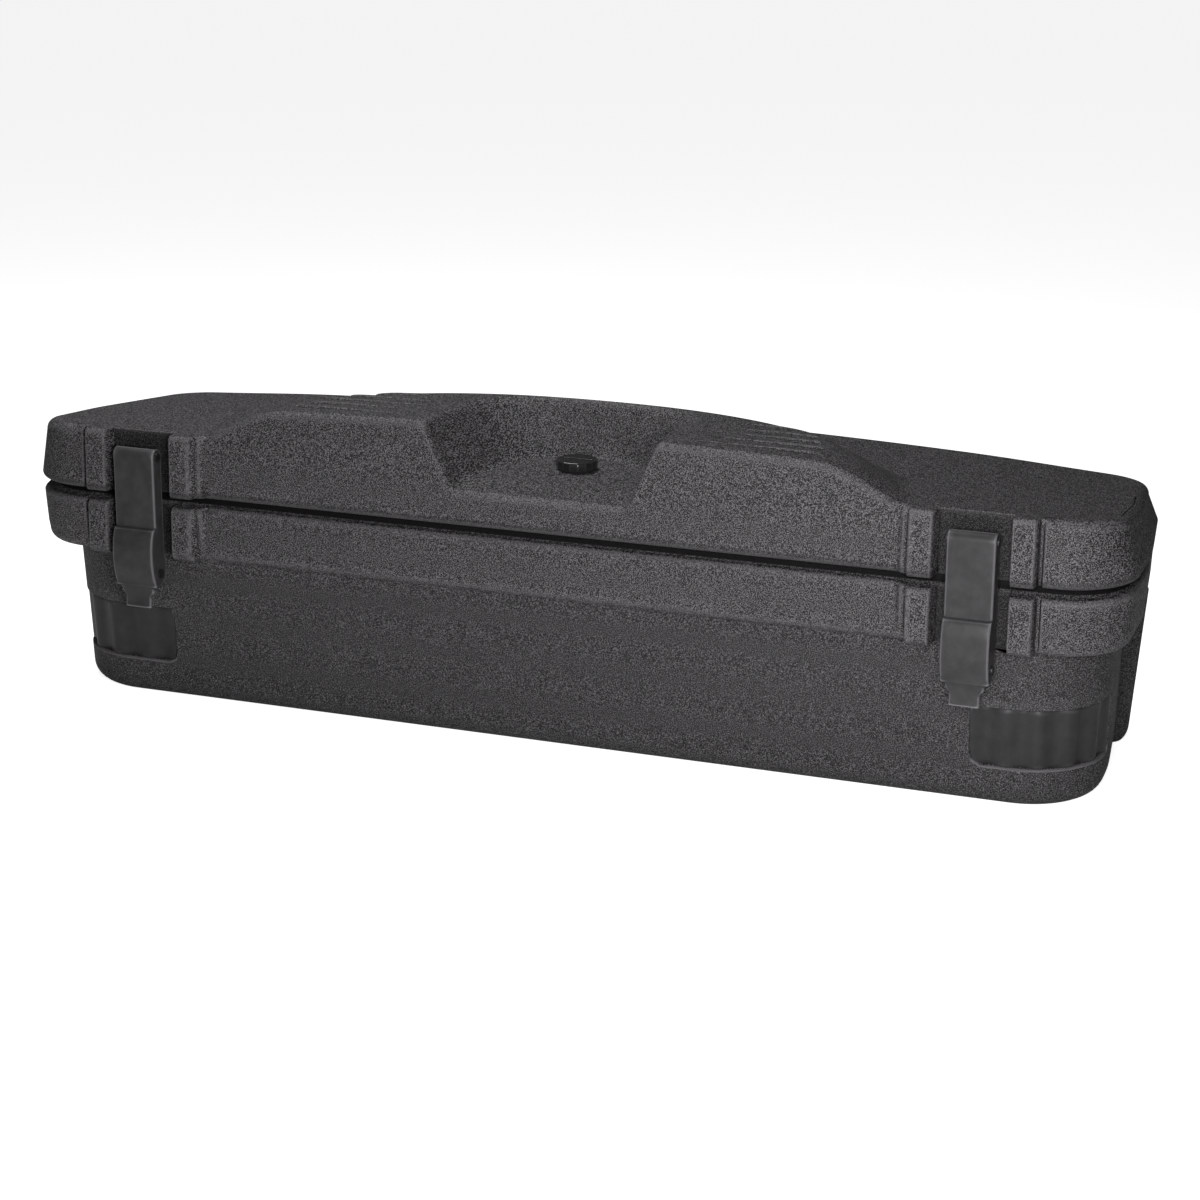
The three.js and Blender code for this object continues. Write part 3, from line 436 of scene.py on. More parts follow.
def rounded_depth(x, depth, drawn, held):
    """A depth with what a rounded edge draws it in by, of which a channel's back holds off a share."""
    return depth + drawn * (1 - held * within(*CHANNEL, EDGE_BLUR, np.abs(x)))


# %% [markdown]
# The lid is wound up from its lip: rings climb the wall with the draft and the front's depth added, and
# turn over a rounded edge, which is tighter in the middle and at the latches. There the sheet with the
# heights takes over, and the front's panels fade out of it within a few centimetres. More rings turn up
# inside the lip.

# %% Lid surface
lid_columns = spaced([(0, 3.4), (64, 1.8), (114, 3.2), (196, 1.6), (236, 2.9), (303, 1.2), (317, 3.5),
                      (331, 0.7), (338, 5), (392, 0.7), (399, 3.5), (412, 0.65), (423, 2), (STRAIGHT, 1)])
lid_rows = spaced([(0, 1.5), (14, 2.6), (21, 0.8), (25, 3), (44, 0.8), (48, 3), (66, 0.8), (70, 3), (88, 0.8),
                   (92, 3), (112, 0.8), (116, 2.6), (160, 3.6), (240, 1)])
WALL, LIP_RADIUS, WALL_STEPS = 5.0, 4.0, 9
LID_EDGE = {"side": 9.0, "corner": 8.5, "middle": 7.0, "latch": 4.5, "middle_end": (290, 310),
            "latches": (309, 424), "latch_blur": 8.0, "held": 0.6}
LID_FRONT = {"lean": 3.0, "brow": 1.2, "top_middle": 3.5, "top_corner": -1.0, "fade": 26.0}
# Each step inside the lip is drawn in from the sides, front and rear, and has a height.
LIP_INSIDE = ((7, 15.5, 5, LID_LOW), (8, 16.5, 6, LID_LOW + 1), (8, 16.5, 6, 203), (15, 23.5, 13, 203))
CEILING_INSET, CEILING_BRIM = (WALL + 9, 24, WALL + 9), 4.0
lid_lattice = Lattice(lid_columns, lid_rows / lid_rows[-1])
lid_wall_top = inward(RIM, 9, 3, 3)
print("lines of the lid:", len(lid_lattice.place), "by", len(lid_lattice.rows))


def lid_surface(lattice):
    """The lid as a closed shell: lip, wall and rounded edge, then the sheet whose height is lid_height, the
    inside of the lip, and a ceiling one wall thick below the top."""
    low, normal = lattice.ring(RIM)
    high, _ = lattice.ring(lid_wall_top)
    x, flat = low[:, 0], np.zeros(len(low))
    straight = lattice.straight_front(low)
    is_front = np.arange(len(low)) < len(lattice.place)
    middle_share = 1 - ease(*LID_EDGE["middle_end"], np.abs(x))
    latch_share = within(*LID_EDGE["latches"], LID_EDGE["latch_blur"], np.abs(x))
    radius = LID_EDGE["corner"] - (LID_EDGE["corner"] - LID_EDGE["middle"]) * middle_share
    radius = radius - (LID_EDGE["corner"] - LID_EDGE["latch"]) * latch_share
    radius = np.where(is_front, radius, LID_EDGE["side"])
    foot_rise = LID_LOW + LIP_RADIUS
    rim = high - normal * radius[:, None]
    top_depth = front_depth(x, LID_FRONT["top_middle"], LID_FRONT["top_corner"], 1) + radius
    edge_rise = lid_height(rim[:, 0], np.where(straight, top_depth, rim[:, 1])) - radius
    plain = shoulder_height(*rim.T)

    def wall_at(rise, drawn):
        """Points of the wall at a rise, drawn in along the normal; the front gets its panels and channels."""
        share = (rise - foot_rise) / (plain - radius - foot_rise)
        points = low + (high - low) * np.clip(share, 0, 1)[:, None] - normal * drawn[:, None]
        middle = LID_FRONT["lean"] * np.minimum(share, 1) + LID_FRONT["brow"] * np.maximum(share - 1, 0)
        depth = front_depth(x, middle, points[:, 1] - drawn, np.clip(share, 0, 1))
        points[:, 1] = np.where(straight, rounded_depth(x, depth, drawn, LID_EDGE["held"]), points[:, 1])
        return at_height(points, rise)

    foot = [wall_at(flat + foot_rise - LIP_RADIUS * math.sin(a), flat + LIP_RADIUS * (1 - math.cos(a)))
            for a in quarter_turn(5)[::-1]]
    wall = [wall_at(foot_rise + (edge_rise - foot_rise) * share, flat)
            for share in np.linspace(0, 1, WALL_STEPS + 1)[1:]]
    edge = [wall_at(edge_rise, radius * (1 - math.cos(a))) + at_height(0 * rim, radius * math.sin(a))
            for a in quarter_turn(8)[1:]]
    border = edge.pop()

    plain_sheet = lattice.sheet(rim)
    moved = lattice.sheet(border[:, :2])[0] - plain_sheet[0]
    fade = 1 - ease(0, LID_FRONT["fade"], lattice.rows * lid_rows[-1])
    sheet = plain_sheet + moved * fade[:, None, None]
    top = at_height(sheet, lid_height(sheet[..., 0], sheet[..., 1]))
    top.reshape(-1, 3)[border_of(numbered(top))] = border

    inside = [at_height(lattice.ring(inward(RIM, *drawn))[0], rise) for *drawn, rise in LIP_INSIDE]
    last, _ = lattice.ring(inward(lid_wall_top, *CEILING_INSET))
    brim = at_height(last, lid_height(*last.T) - WALL - CEILING_BRIM)
    under = lattice.sheet(last)[::SPARSE, ::SPARSE]
    under = at_height(under, lid_height(under[..., 0], under[..., 1]) - WALL)
    rings = np.array([*edge[::-1], *wall[::-1], *foot[::-1], *inside, brim])
    return drawn_in(top), drawn_in(rings), drawn_in(under)


piece("lid_moulding", *shell(*lid_surface(lid_lattice)), "lid", "moulded_polyethylene", ["lid_shell"])

# %% [markdown]
# The base is the second large moulding. Rings of points walk from the middle of its underside up the
# tapered walls, round the band with its latch channels, over the tongue that stands into the lid, and down
# the inside. The guard recesses are pushed in along the normals, and the rear legs are pushed out.

# %% Sizes of the base
BODY_TOP = {"half": 467.0, "front": 11.0, "rear": 246.0, "front_radius": 72.0, "rear_radius": 40.0}
BODY_LOW = {"half": 463.0, "front": 22.0, "rear": 240.0, "front_radius": 66.0, "rear_radius": 36.0}
BOTTOM_RADIUS, BAND_FOOT_RADIUS, BAND_EDGE_RADIUS = 16.0, 9.0, 5.0
BAND_LOW = 137.0
BAND_JOIN = BAND_LOW + BAND_FOOT_RADIUS
BAND_FRONT = {"lean": 2.6, "corner": -4.0, "held": 0.8}
band_top, band_foot = inward(RIM, 2, 0, 0), inward(RIM, 4, 4, 0)
leg_top, leg_low = inward(RIM, 3, 3, 5), inward(RIM, 14, 14, 14)
LEG_START, LEG_INNER, LEG_BLUR, LEG_ROUND = 200.0, 420.0, 3.0, 0.62
GUARD_STARTS = {-1: 349.0, 1: 365.0}
GUARD_LOW, GUARD_TOP, GUARD_ROUND, GUARD_RUN, GUARD_BLUR, RECESS = 34.0, 85.0, 13.0, 3.0, 0.8, 12.0
FLOOR, FLOOR_INSET = 6.0, 26.0
tongue = inward(RIM, 8.8, 17.3, 6.8)
# Each step inside is a level and its height: tongue and its bevels, band, wall, and the edge of the floor.
BASE_INSIDE = ((tongue, BASE_TOP), (tongue, 196), (inward(tongue, 1), 197), (inward(tongue, 4), 197),
               (inward(tongue, WALL), 196), (inward(tongue, WALL), 143), (inward(BODY_TOP, WALL), 141),
               (inward(BODY_LOW, WALL + RECESS), 60), (inward(BODY_LOW, WALL + RECESS), 16),
               (inward(BODY_LOW, 20), 8))

# %% Base surface
base_columns = spaced([(0, 6), (300, 1.2), (317, 3.5), (331, 0.7), (338, 3), (347.6, 0.5), (350, 1.6),
                       (363.6, 0.5), (366, 1.4), (382, 5), (392, 0.7), (399, 3.5), (412, 0.65), (423, 2),
                       (STRAIGHT, 1)])
base_rows = spaced([(0, 0.01), (0.02, 0.006), (0.04, 0.05), (0.9, 0.012), (1, 1)])
body_rises = spaced([(BOTTOM_RADIUS, 6), (32, 0.5), (36, 1.6), (48, 8), (83.5, 0.5), (86, 8), (BAND_LOW, 1)])
base_lattice = Lattice(base_columns, base_rows)
print("lines of the base:", len(base_lattice.place), "by", len(base_lattice.rows))


def body_level(rise):
    """The outline of the tapered body at a rise."""
    return mix_levels(BODY_LOW, BODY_TOP, np.clip((rise - BOTTOM_RADIUS) / (BAND_JOIN - BOTTOM_RADIUS), 0, 1))


def guard_window(x, y, rise, corner_end):
    """1 inside a guard's recess, 0 outside: its lower inner corner is round, and it ends past the bend."""
    side = np.where(x < 0, GUARD_STARTS[-1], GUARD_STARTS[1]) - np.abs(x)
    low = GUARD_LOW - rise
    a, b = np.maximum(side + GUARD_ROUND, 0), np.maximum(low + GUARD_ROUND, 0)
    out = np.minimum(np.maximum(side, low) + GUARD_ROUND, 0) + np.hypot(a, b) - GUARD_ROUND
    out = np.maximum(out, np.maximum(rise - GUARD_TOP, y - corner_end - GUARD_RUN))
    return 1 - ease(-GUARD_BLUR / 2, GUARD_BLUR / 2, out)


def body_ring(lattice, rise, drawn=0.0):
    """The outside of the body at a rise: tapered walls, with the guards' recesses and the rear legs."""
    level = body_level(rise)
    points, normal = lattice.ring(inward(level, drawn))
    leg = mix_levels(leg_low, leg_top, np.clip(rise / BAND_JOIN, 0, 1))
    leg_points, _ = lattice.ring(inward(leg, drawn * LEG_ROUND))
    window = guard_window(points[:, 0], points[:, 1], rise, level["front"] + level["front_radius"])
    window = window * (points[:, 1] < KNEE)
    pushed = points - normal * (RECESS * window)[:, None]
    x, y = np.abs(points[:, 0]), points[:, 1]
    legs = ease(LEG_START - LEG_BLUR, LEG_START, y) * ease(LEG_INNER - LEG_BLUR, LEG_INNER, x)
    return at_height(pushed + (leg_points - pushed) * legs[:, None], rise)


def band_ring(lattice, rise, drawn, share):
    """The outside of the band at a share of its height, with the panels, pillars and channels in front."""
    points, _ = lattice.ring(inward(mix_levels(band_foot, band_top, share), drawn))
    rim, _ = lattice.ring(RIM)
    depth = front_depth(rim[:, 0], BAND_FRONT["lean"] * share, BAND_FRONT["corner"] * share, share)
    depth = rounded_depth(rim[:, 0], depth, drawn, BAND_FRONT["held"])
    points[:, 1] = np.where(lattice.straight_front(rim), depth, points[:, 1])
    return at_height(points, rise)


def base_surface(lattice):
    """The base as a closed shell, from the underside up the outside, over the tongue and down the inside."""
    band_edge = BASE_TOP - BAND_EDGE_RADIUS
    bottom = [body_ring(lattice, BOTTOM_RADIUS * (1 - math.cos(a)), BOTTOM_RADIUS * (1 - math.sin(a)))
              for a in quarter_turn(8)]
    sides = [body_ring(lattice, rise) for rise in body_rises[1:]]
    low = [band_ring(lattice, BAND_LOW + BAND_FOOT_RADIUS * (1 - math.cos(a)),
                     BAND_FOOT_RADIUS * (1 - math.sin(a)), 0) for a in quarter_turn(6)]
    wall = [band_ring(lattice, rise, 0, (rise - BAND_LOW) / (BASE_TOP - BAND_LOW))
            for rise in np.linspace(BAND_JOIN, band_edge, 6)[1:]]
    edge = [band_ring(lattice, band_edge + BAND_EDGE_RADIUS * math.sin(a),
                      BAND_EDGE_RADIUS * (1 - math.cos(a)), 1) for a in quarter_turn(5)[1:]]
    inside = [at_height(lattice.ring(level)[0], rise) for level, rise in BASE_INSIDE]
    rings = np.array([*bottom[1:], *sides, *low, *wall, *edge, *inside])
    top = at_height(lattice.sheet(bottom[0][:, :2]), 0.0)
    floor_ring, _ = lattice.ring(inward(BODY_LOW, FLOOR_INSET))
    under = at_height(lattice.sheet(floor_ring)[::SPARSE, ::SPARSE], FLOOR)
    return drawn_in(top), drawn_in(rings), drawn_in(under)


piece("base_moulding", *shell(*base_surface(base_lattice)), "base", "moulded_polyethylene",
      ["base_shell", "base_band", "base_band_front", "latch_bay_left", "latch_bay_right"])

# %% [markdown]
# A thick sheet is made from two grids of points, its outer and its inner face, closed round their borders.
# The corner guards and the latch straps are such sheets.


# %% Thick sheets
def thick_sheet(outer, inner):
    """Points and faces of a closed sheet between two grids of points of one size."""
    first = numbered(outer)
    second = numbered(inner, first.size)
    round_outer, round_inner = border_of(first), border_of(second)
    rim_outer, rim_inner = np.append(round_outer, round_outer[0]), np.append(round_inner, round_inner[0])
    faces = np.concatenate([quads(first), quads(second)[:, ::-1], quads(np.stack([rim_inner, rim_outer]))])
    return np.concatenate([outer.reshape(-1, 3), inner.reshape(-1, 3)]), faces.tolist()


def corner_walk(start, run, rise, share, drawn):
    """Places on the body's face round its front corner: a share of the way from a start on the front to a run
    down the side, drawn in along the normal."""
    level = body_level(rise)
    half, front, radius = level["half"], level["front"], level["front_radius"]
    along, turn = half - radius - start, radius * math.pi / 2
    distance = share * (along + turn + run)
    angle = np.clip((distance - along) / radius, 0, math.pi / 2)
    x = start + np.minimum(distance, along) + radius * np.sin(angle) - drawn * np.sin(angle)
    y = front + radius * (1 - np.cos(angle)) + np.maximum(distance - along - turn, 0) + drawn * np.cos(angle)
    return x, y


# %% Corner guards
GUARD = {"gap": 0.35, "play": 0.5, "set": 0.8, "wave": 3.8, "flutes": 5, "columns": 160, "rows": 24,
         "edge": 1.2, "bend": 140.0}


def guard_faces(side):
    """A guard's outer and inner grids: sine-squared flutes round the corner, and a lower edge that rounds up
    at its inner end."""
    gap, play = GUARD["gap"], GUARD["play"]
    share = np.linspace(0, 1, GUARD["columns"] + 1)[None, :]
    rows = np.linspace(0, 1, GUARD["rows"] + 1)[:, None]
    walked = share * (STRAIGHT + GUARD["bend"] - GUARD_STARTS[side])
    lift = GUARD_ROUND - np.sqrt(GUARD_ROUND ** 2 - np.maximum(GUARD_ROUND - walked, 0) ** 2)
    low, high = GUARD_LOW + gap + lift, GUARD_TOP - gap
    rise = low + (high - low) * rows
    wave = GUARD["set"] + GUARD["wave"] * np.sin(share * GUARD["flutes"] * math.pi) ** 2
    near = np.minimum(rise - low, high - rise)
    rounded = GUARD["edge"] * (1 - np.sqrt(1 - np.clip(1 - near / GUARD["edge"], 0, 1) ** 2))
    grids = []
    for drawn in (wave + rounded, np.full_like(rise, RECESS - gap - play)):
        x, y = corner_walk(GUARD_STARTS[side] + gap, GUARD_RUN - gap - play, rise, share + 0 * rise, drawn)
        grids.append(np.stack([side * x, y, rise + 0 * x], -1))
    return grids


for side, hand in HANDS:
    piece(f"fluted_guard_{hand}", *thick_sheet(*guard_faces(side)), "base", "guard_plastic",
          [f"corner_guard_{hand}"], crease=40)

# %% [markdown]
# A latch strap is pressed or moulded as a channel: a face with two side flanges. A profile of face, rounded
# corners and flanges is carried along a side view of the face, from the curl over its pin to the pull tab.
# The ears where the strap narrows to its tab are two steps of the width.

# %% Side view of a latch strap
STATION = 366.0
PIN = np.array([-6.5, 228.0])
STRAP = {"half": 19.4, "tab_half": 12.3, "sheet": 2.2, "corner": 2.0, "curl": 7.0, "flange": 0.5,
         "low_flange": 3.0, "flange_end": 114.5, "flange_run": 10.0}
FLANGE_STEP = (133.0, 141.0)
# Each ear is a share of the change of width, and the heights between which it comes.
EARS = ((0.55, 112.2, 114.0), (0.45, 103.5, 109.0))
CURL_STEPS, SPAN_STEPS = 11, 6
STRAP_SIDE = np.array([[-13.5, 228], [-13.5, 210], [-13.5, 190], [-13.5, 172], [-13.5, 167.2], [-13.9, 165.9],
                       [-16.2, 165.0], [-17.6, 163.6], [-19.2, 160], [-20.9, 154], [-21.8, 147],
                       [-21.9, 139], [-21.0, 130], [-19.0, 121.5], [-17.2, 117], [-16.6, 114.4],
                       [-15.6, 112.4], [-14.6, 109.5], [-14.0, 105], [-14.2, 99], [-15.0, 94.3]])


def through(points, steps):
    """A smooth curve through points (Catmull-Rom): cubics blend a span's two ends and their neighbours."""
    padded = np.vstack([2 * points[0] - points[1], points, 2 * points[-1] - points[-2]])
    a, b, c, d = padded[:-3, None], padded[1:-2, None], padded[2:-1, None], padded[3:, None]
    t = np.linspace(0, 1, steps, endpoint=False)[None, :, None]
    square, cube = 2 * a - 5 * b + 4 * c - d, 3 * b - a - 3 * c + d
    curve = 0.5 * (2 * b + (c - a) * t + square * t * t + cube * t ** 3)
    return np.vstack([curve.reshape(-1, 2), points[-1]])


def strap_side():
    """The side view from the curl to the tab: the face's depth and height, the flange's rear edge, and the
    normal that points back into the strap."""
    curl = np.linspace(math.pi / 2, math.pi, CURL_STEPS + 1)[:-1]
    over = PIN + STRAP["curl"] * np.column_stack([np.cos(curl), np.sin(curl)])
    path = np.vstack([over, through(STRAP_SIDE, SPAN_STEPS)])
    along = np.gradient(path, axis=0)
    along /= np.linalg.norm(along, axis=1)[:, None]
    back = np.column_stack([-along[:, 1], along[:, 0]])
    y, z = path.T
    rear = STRAP["flange"] + (STRAP["low_flange"] - STRAP["flange"]) * (1 - ease(*FLANGE_STEP, z))
    rear = np.where(z > PIN[1], PIN[0] + np.sqrt(np.maximum(STRAP["curl"] ** 2 - (z - PIN[1]) ** 2, 0)), rear)
    below = np.clip((z - STRAP["flange_end"]) / STRAP["flange_run"], 0, 1)
    rear = y + STRAP["sheet"] + (rear - y - STRAP["sheet"]) * np.sqrt(1 - (1 - below) ** 2)
    return y, z, rear, back


# %% Latch straps
FLANGE_LINES, CORNER_STEPS, FACE_STEPS = 6, 4, 8
STRAP_BEVEL = 0.45 * MM


def strap_faces(side):
    """A strap's outer and inner grids: rows follow the face from the curl to the tab, and columns cross a
    flange, a rounded corner, the face, a corner and the other flange."""
    y, z, rear, back = strap_side()
    ears = sum(share * ease(low, high, z) for share, low, high in EARS)
    half = STRAP["tab_half"] + (STRAP["half"] - STRAP["tab_half"]) * ears
    turn, radius = quarter_turn(CORNER_STEPS)[1:-1], STRAP["corner"]
    out = np.concatenate([np.ones(FLANGE_LINES), np.cos(turn), [0.0]])
    depth_share = np.concatenate([np.linspace(1, 0, FLANGE_LINES), np.zeros(CORNER_STEPS)])
    round_depth = np.concatenate([np.ones(FLANGE_LINES), 1 - np.sin(turn), [0.0]])
    x_half = half[:, None] - radius * (1 - out)
    depth = radius * round_depth + np.maximum(rear - y - radius, 0)[:, None] * depth_share
    fill = np.linspace(1, -1, FACE_STEPS + 1)[1:-1]
    x_all = np.concatenate([x_half, (half - radius)[:, None] * fill, -x_half[:, ::-1]], 1)
    depth_all = np.concatenate([depth, np.zeros((len(y), len(fill))), depth[:, ::-1]], 1)
    facing = np.concatenate([out, np.zeros(len(fill)), -out[::-1]])
    ahead = np.sqrt(1 - facing ** 2)
    outer = np.stack([side * STATION + x_all, y[:, None] + depth_all, z[:, None] + 0 * x_all], -1)
    shift = np.stack([0 * x_all - facing, ahead * back[:, :1], ahead * back[:, 1:]], -1)
    return outer, outer + STRAP["sheet"] * shift


for side, hand in HANDS:
    strap = piece(f"strap_{hand}", *thick_sheet(*strap_faces(side)), f"{hand}_latch", "latch_plastic",
                  [f"latch_strap_{hand}"], crease=35)
    bevel = strap.modifiers.new("soft_edges", "BEVEL")
    bevel.width = STRAP_BEVEL
    bevel.segments = 2
    bevel.limit_method = "ANGLE"
    bevel.angle_limit = math.radians(50)

# %% [markdown]
# The plug in the pocket is a moulded disc with flats round its rim and a slot for a coin. It is a profile
# turned round an upright axis; the radius dips between the corners of a polygon, and the slot is a dip of
# the top.

# %% Plug
PLUG = {"back": 97.0, "low": 227.5, "radius": 17.6, "height": 7.3, "flats": 16, "bevel": 1.3, "bulge": 0.35,
        "foot_inset": 1.6, "foot_round": 0.4, "foot_height": 0.9, "flat_depth": 4.0, "slot": 1.5,
        "slot_half": 1.4, "slot_reach": 13.5, "slot_blur": 0.8, "slot_end": 1.0, "ring_gap": 0.6}
SPOKES, FACE_RINGS = 192, 29


def plug_points():
    """A turned head: profile points of radius and height, and near the rim the radius times
    cos(pi/n)/cos(angle within a flat), over its mean."""
    radius, low, bevel = PLUG["radius"], PLUG["low"], PLUG["bevel"]
    top, bulge = low + PLUG["height"], PLUG["bevel"] * PLUG["bulge"]
    inner = np.linspace(0, radius - bevel - PLUG["ring_gap"], FACE_RINGS + 1)[1:]
    edge = [(radius - PLUG["foot_inset"], low), (radius - PLUG["foot_round"], low),
            (radius, low + PLUG["foot_height"]), (radius, top - bevel), (radius - bulge, top - bulge),
            (radius - bevel, top)]
    profile = np.vstack([edge, np.column_stack([inner[::-1], np.full(len(inner), top)])])
    profile_r, profile_z = profile.T
    angle = np.linspace(0, 2 * math.pi, SPOKES, endpoint=False)
    sector = 2 * math.pi / PLUG["flats"]
    flat = math.cos(sector / 2) / np.cos((angle % sector) - sector / 2)
    blend = np.clip((profile_r - radius + PLUG["flat_depth"]) / PLUG["flat_depth"], 0, 1)[:, None]
    r = profile_r[:, None] * (1 + (flat / flat.mean() - 1) * blend)
    x, y = r * np.cos(angle), r * np.sin(angle)
    dip = within(-PLUG["slot_half"], PLUG["slot_half"], PLUG["slot_blur"], y)
    dip = dip * (1 - ease(PLUG["slot_reach"] - PLUG["slot_end"], PLUG["slot_reach"], np.abs(x)))
    z = profile_z[:, None] - PLUG["slot"] * dip * (profile_z[:, None] >= top)
    return np.stack([x, y + PLUG["back"], z], -1)


grid = plug_points()
index = numbered(grid)
wrapped = np.concatenate([index, index[:, :1]], 1)
slot_floor = PLUG["low"] + PLUG["height"] - PLUG["slot"]
poles = np.array([[0, PLUG["back"], PLUG["low"]], [0, PLUG["back"], slot_floor]])
low_fan = np.stack([wrapped[0, :-1], wrapped[0, 1:], np.full(SPOKES, index.size)], -1)
high_fan = np.stack([wrapped[-1, 1:], wrapped[-1, :-1], np.full(SPOKES, index.size + 1)], -1)
plug_faces = [*quads(wrapped)[:, ::-1].tolist(), *low_fan[:, ::-1].tolist(), *high_fan[:, ::-1].tolist()]
piece("plug_head", np.vstack([grid.reshape(-1, 3), poles]), plug_faces, "plug", "plug_plastic", ["vent_plug"],
      crease=35)

# %% [markdown]
# Colours are written as the sRGB values that the eye picks from a picture, and one function turns them into
# the linear light that the shaders work in. The others add nodes to a material: one of any kind, one that
# maps a value to another range, and one that mixes two colours.


# %% Colour and node helpers
def colour(code):
    """Linear RGBA of an sRGB hex code: v/12.92 for each channel below 0.04045, else ((v+0.055)/1.055)^2.4."""
    value = np.array([int(code[i:i + 2], 16) for i in (1, 3, 5)]) / 255
    linear = np.where(value <= 0.04045, value / 12.92, ((value + 0.055) / 1.055) ** 2.4)
    return (*linear.tolist(), 1.0)


def connect(tree, node, **inputs):
    """Gives each named input of a node a value or a link. i0 is the first input, and a node given as a value
    stands for its first output."""
    for name, value in inputs.items():
        by_number = name[0] == "i" and name[1:].isdigit()
        socket = node.inputs[int(name[1:])] if by_number else node.inputs[name.replace("_", " ")]
        value = value.outputs[0] if isinstance(value, bpy.types.Node) else value
        if isinstance(value, bpy.types.NodeSocket):
            tree.links.new(value, socket)
        else:
            socket.default_value = value


def add_node(tree, kind, settings=None, **inputs):
    """Adds a shader node of a kind, with its settings and inputs."""
    node = tree.nodes.new("ShaderNode" + kind)
    for name, value in (settings or {}).items():
        setattr(node, name, value)
    connect(tree, node, **inputs)
    return node


def mapped(tree, value, start, end, first=0.0, last=1.0, settings=None):
    """What runs from first to last as a value runs from start to end, and stays there beyond them."""
    return add_node(tree, "MapRange", settings, i0=value, i1=start, i2=end, i3=first, i4=last)


def mixed(tree, share, first, second):
    """The first colour where a share is 0, the second where it is 1."""
    return add_node(tree, "Mix", {"data_type": "RGBA"}, i0=share, i6=first, i7=second).outputs[2]


# Polyethylene, nylon and ABS bend light by about this much, and it is also the default, which metals keep.
IOR = 1.5


def new_finish(name, roughness, specular, metallic=0.0):
    """A material with its main shader's constants set; returns it with its tree and shader."""
    material = bpy.data.materials.new(name)
    material.use_nodes = True
    shader = material.node_tree.nodes["Principled BSDF"]
    connect(material.node_tree, shader, Roughness=roughness, IOR=IOR, Specular_IOR_Level=specular,
            Metallic=metallic)
    return material, material.node_tree, shader


ADD, SUBTRACT, MULTIPLY = ({"operation": name} for name in ("ADD", "SUBTRACT", "MULTIPLY"))
MULTIPLY_ADD, ABSOLUTE, LARGER = ({"operation": name} for name in ("MULTIPLY_ADD", "ABSOLUTE", "MAXIMUM"))
SMOOTH = {"interpolation_type": "SMOOTHSTEP"}
# A noise texture of scale s has grains about 0.8 / s across.
NOISE_GRAIN = 0.8

# %% [markdown]
# Rotomoulded polyethylene takes the grain of a sandblasted mould, a bit under a millimetre across.
# Its speckle is painted highlight, pale where the grain's bumps would catch light. Outer edges are painted
# paler, partly for wear and partly as the highlight they catch, and hollows are painted darker as shade. The
# roundness kept on the mesh says where the edges and hollows are. Soft lamps alone leave the seam, the lid's
# lip and the latch channels too light, and the ledges under the guards too dark, so their shade and light
# are painted, from places in metres.

# %% Rotomoulded polyethylene
GRAIN = 0.7 * MM
FINE_GRAIN = 0.5 * MM
# The tops are seen at a low angle, so the grain is drawn longer in depth than the real one, to show at all.
GRAIN_DEPTH = 0.28
GRAIN_MEAN = 0.75
# The speckle's colours: painted highlight on the grain, from dark to pale.
MOULDED_DARK, MOULDED_MID, MOULDED_PALE = "#1b1a1b", "#353435", "#757375"
# Paler edges: wear, and painted highlight.
MOULDED_EDGE = "#6e6c6e"
# The colour of the painted shade.
MOULDED_HOLLOW = "#0f0e0f"
DARK_AT, MID_AT, PALE_AT = 0.4, 0.5, 0.63
WEAR_AND_HIGHLIGHT_GRAIN = 1.7
# Clouds of gloss about 9 cm across.
BROAD_NOISE = 9.0
CHANNEL_MIDDLE = sum(CHANNEL) / 2 * MM
CHANNEL_SHADE = 0.65


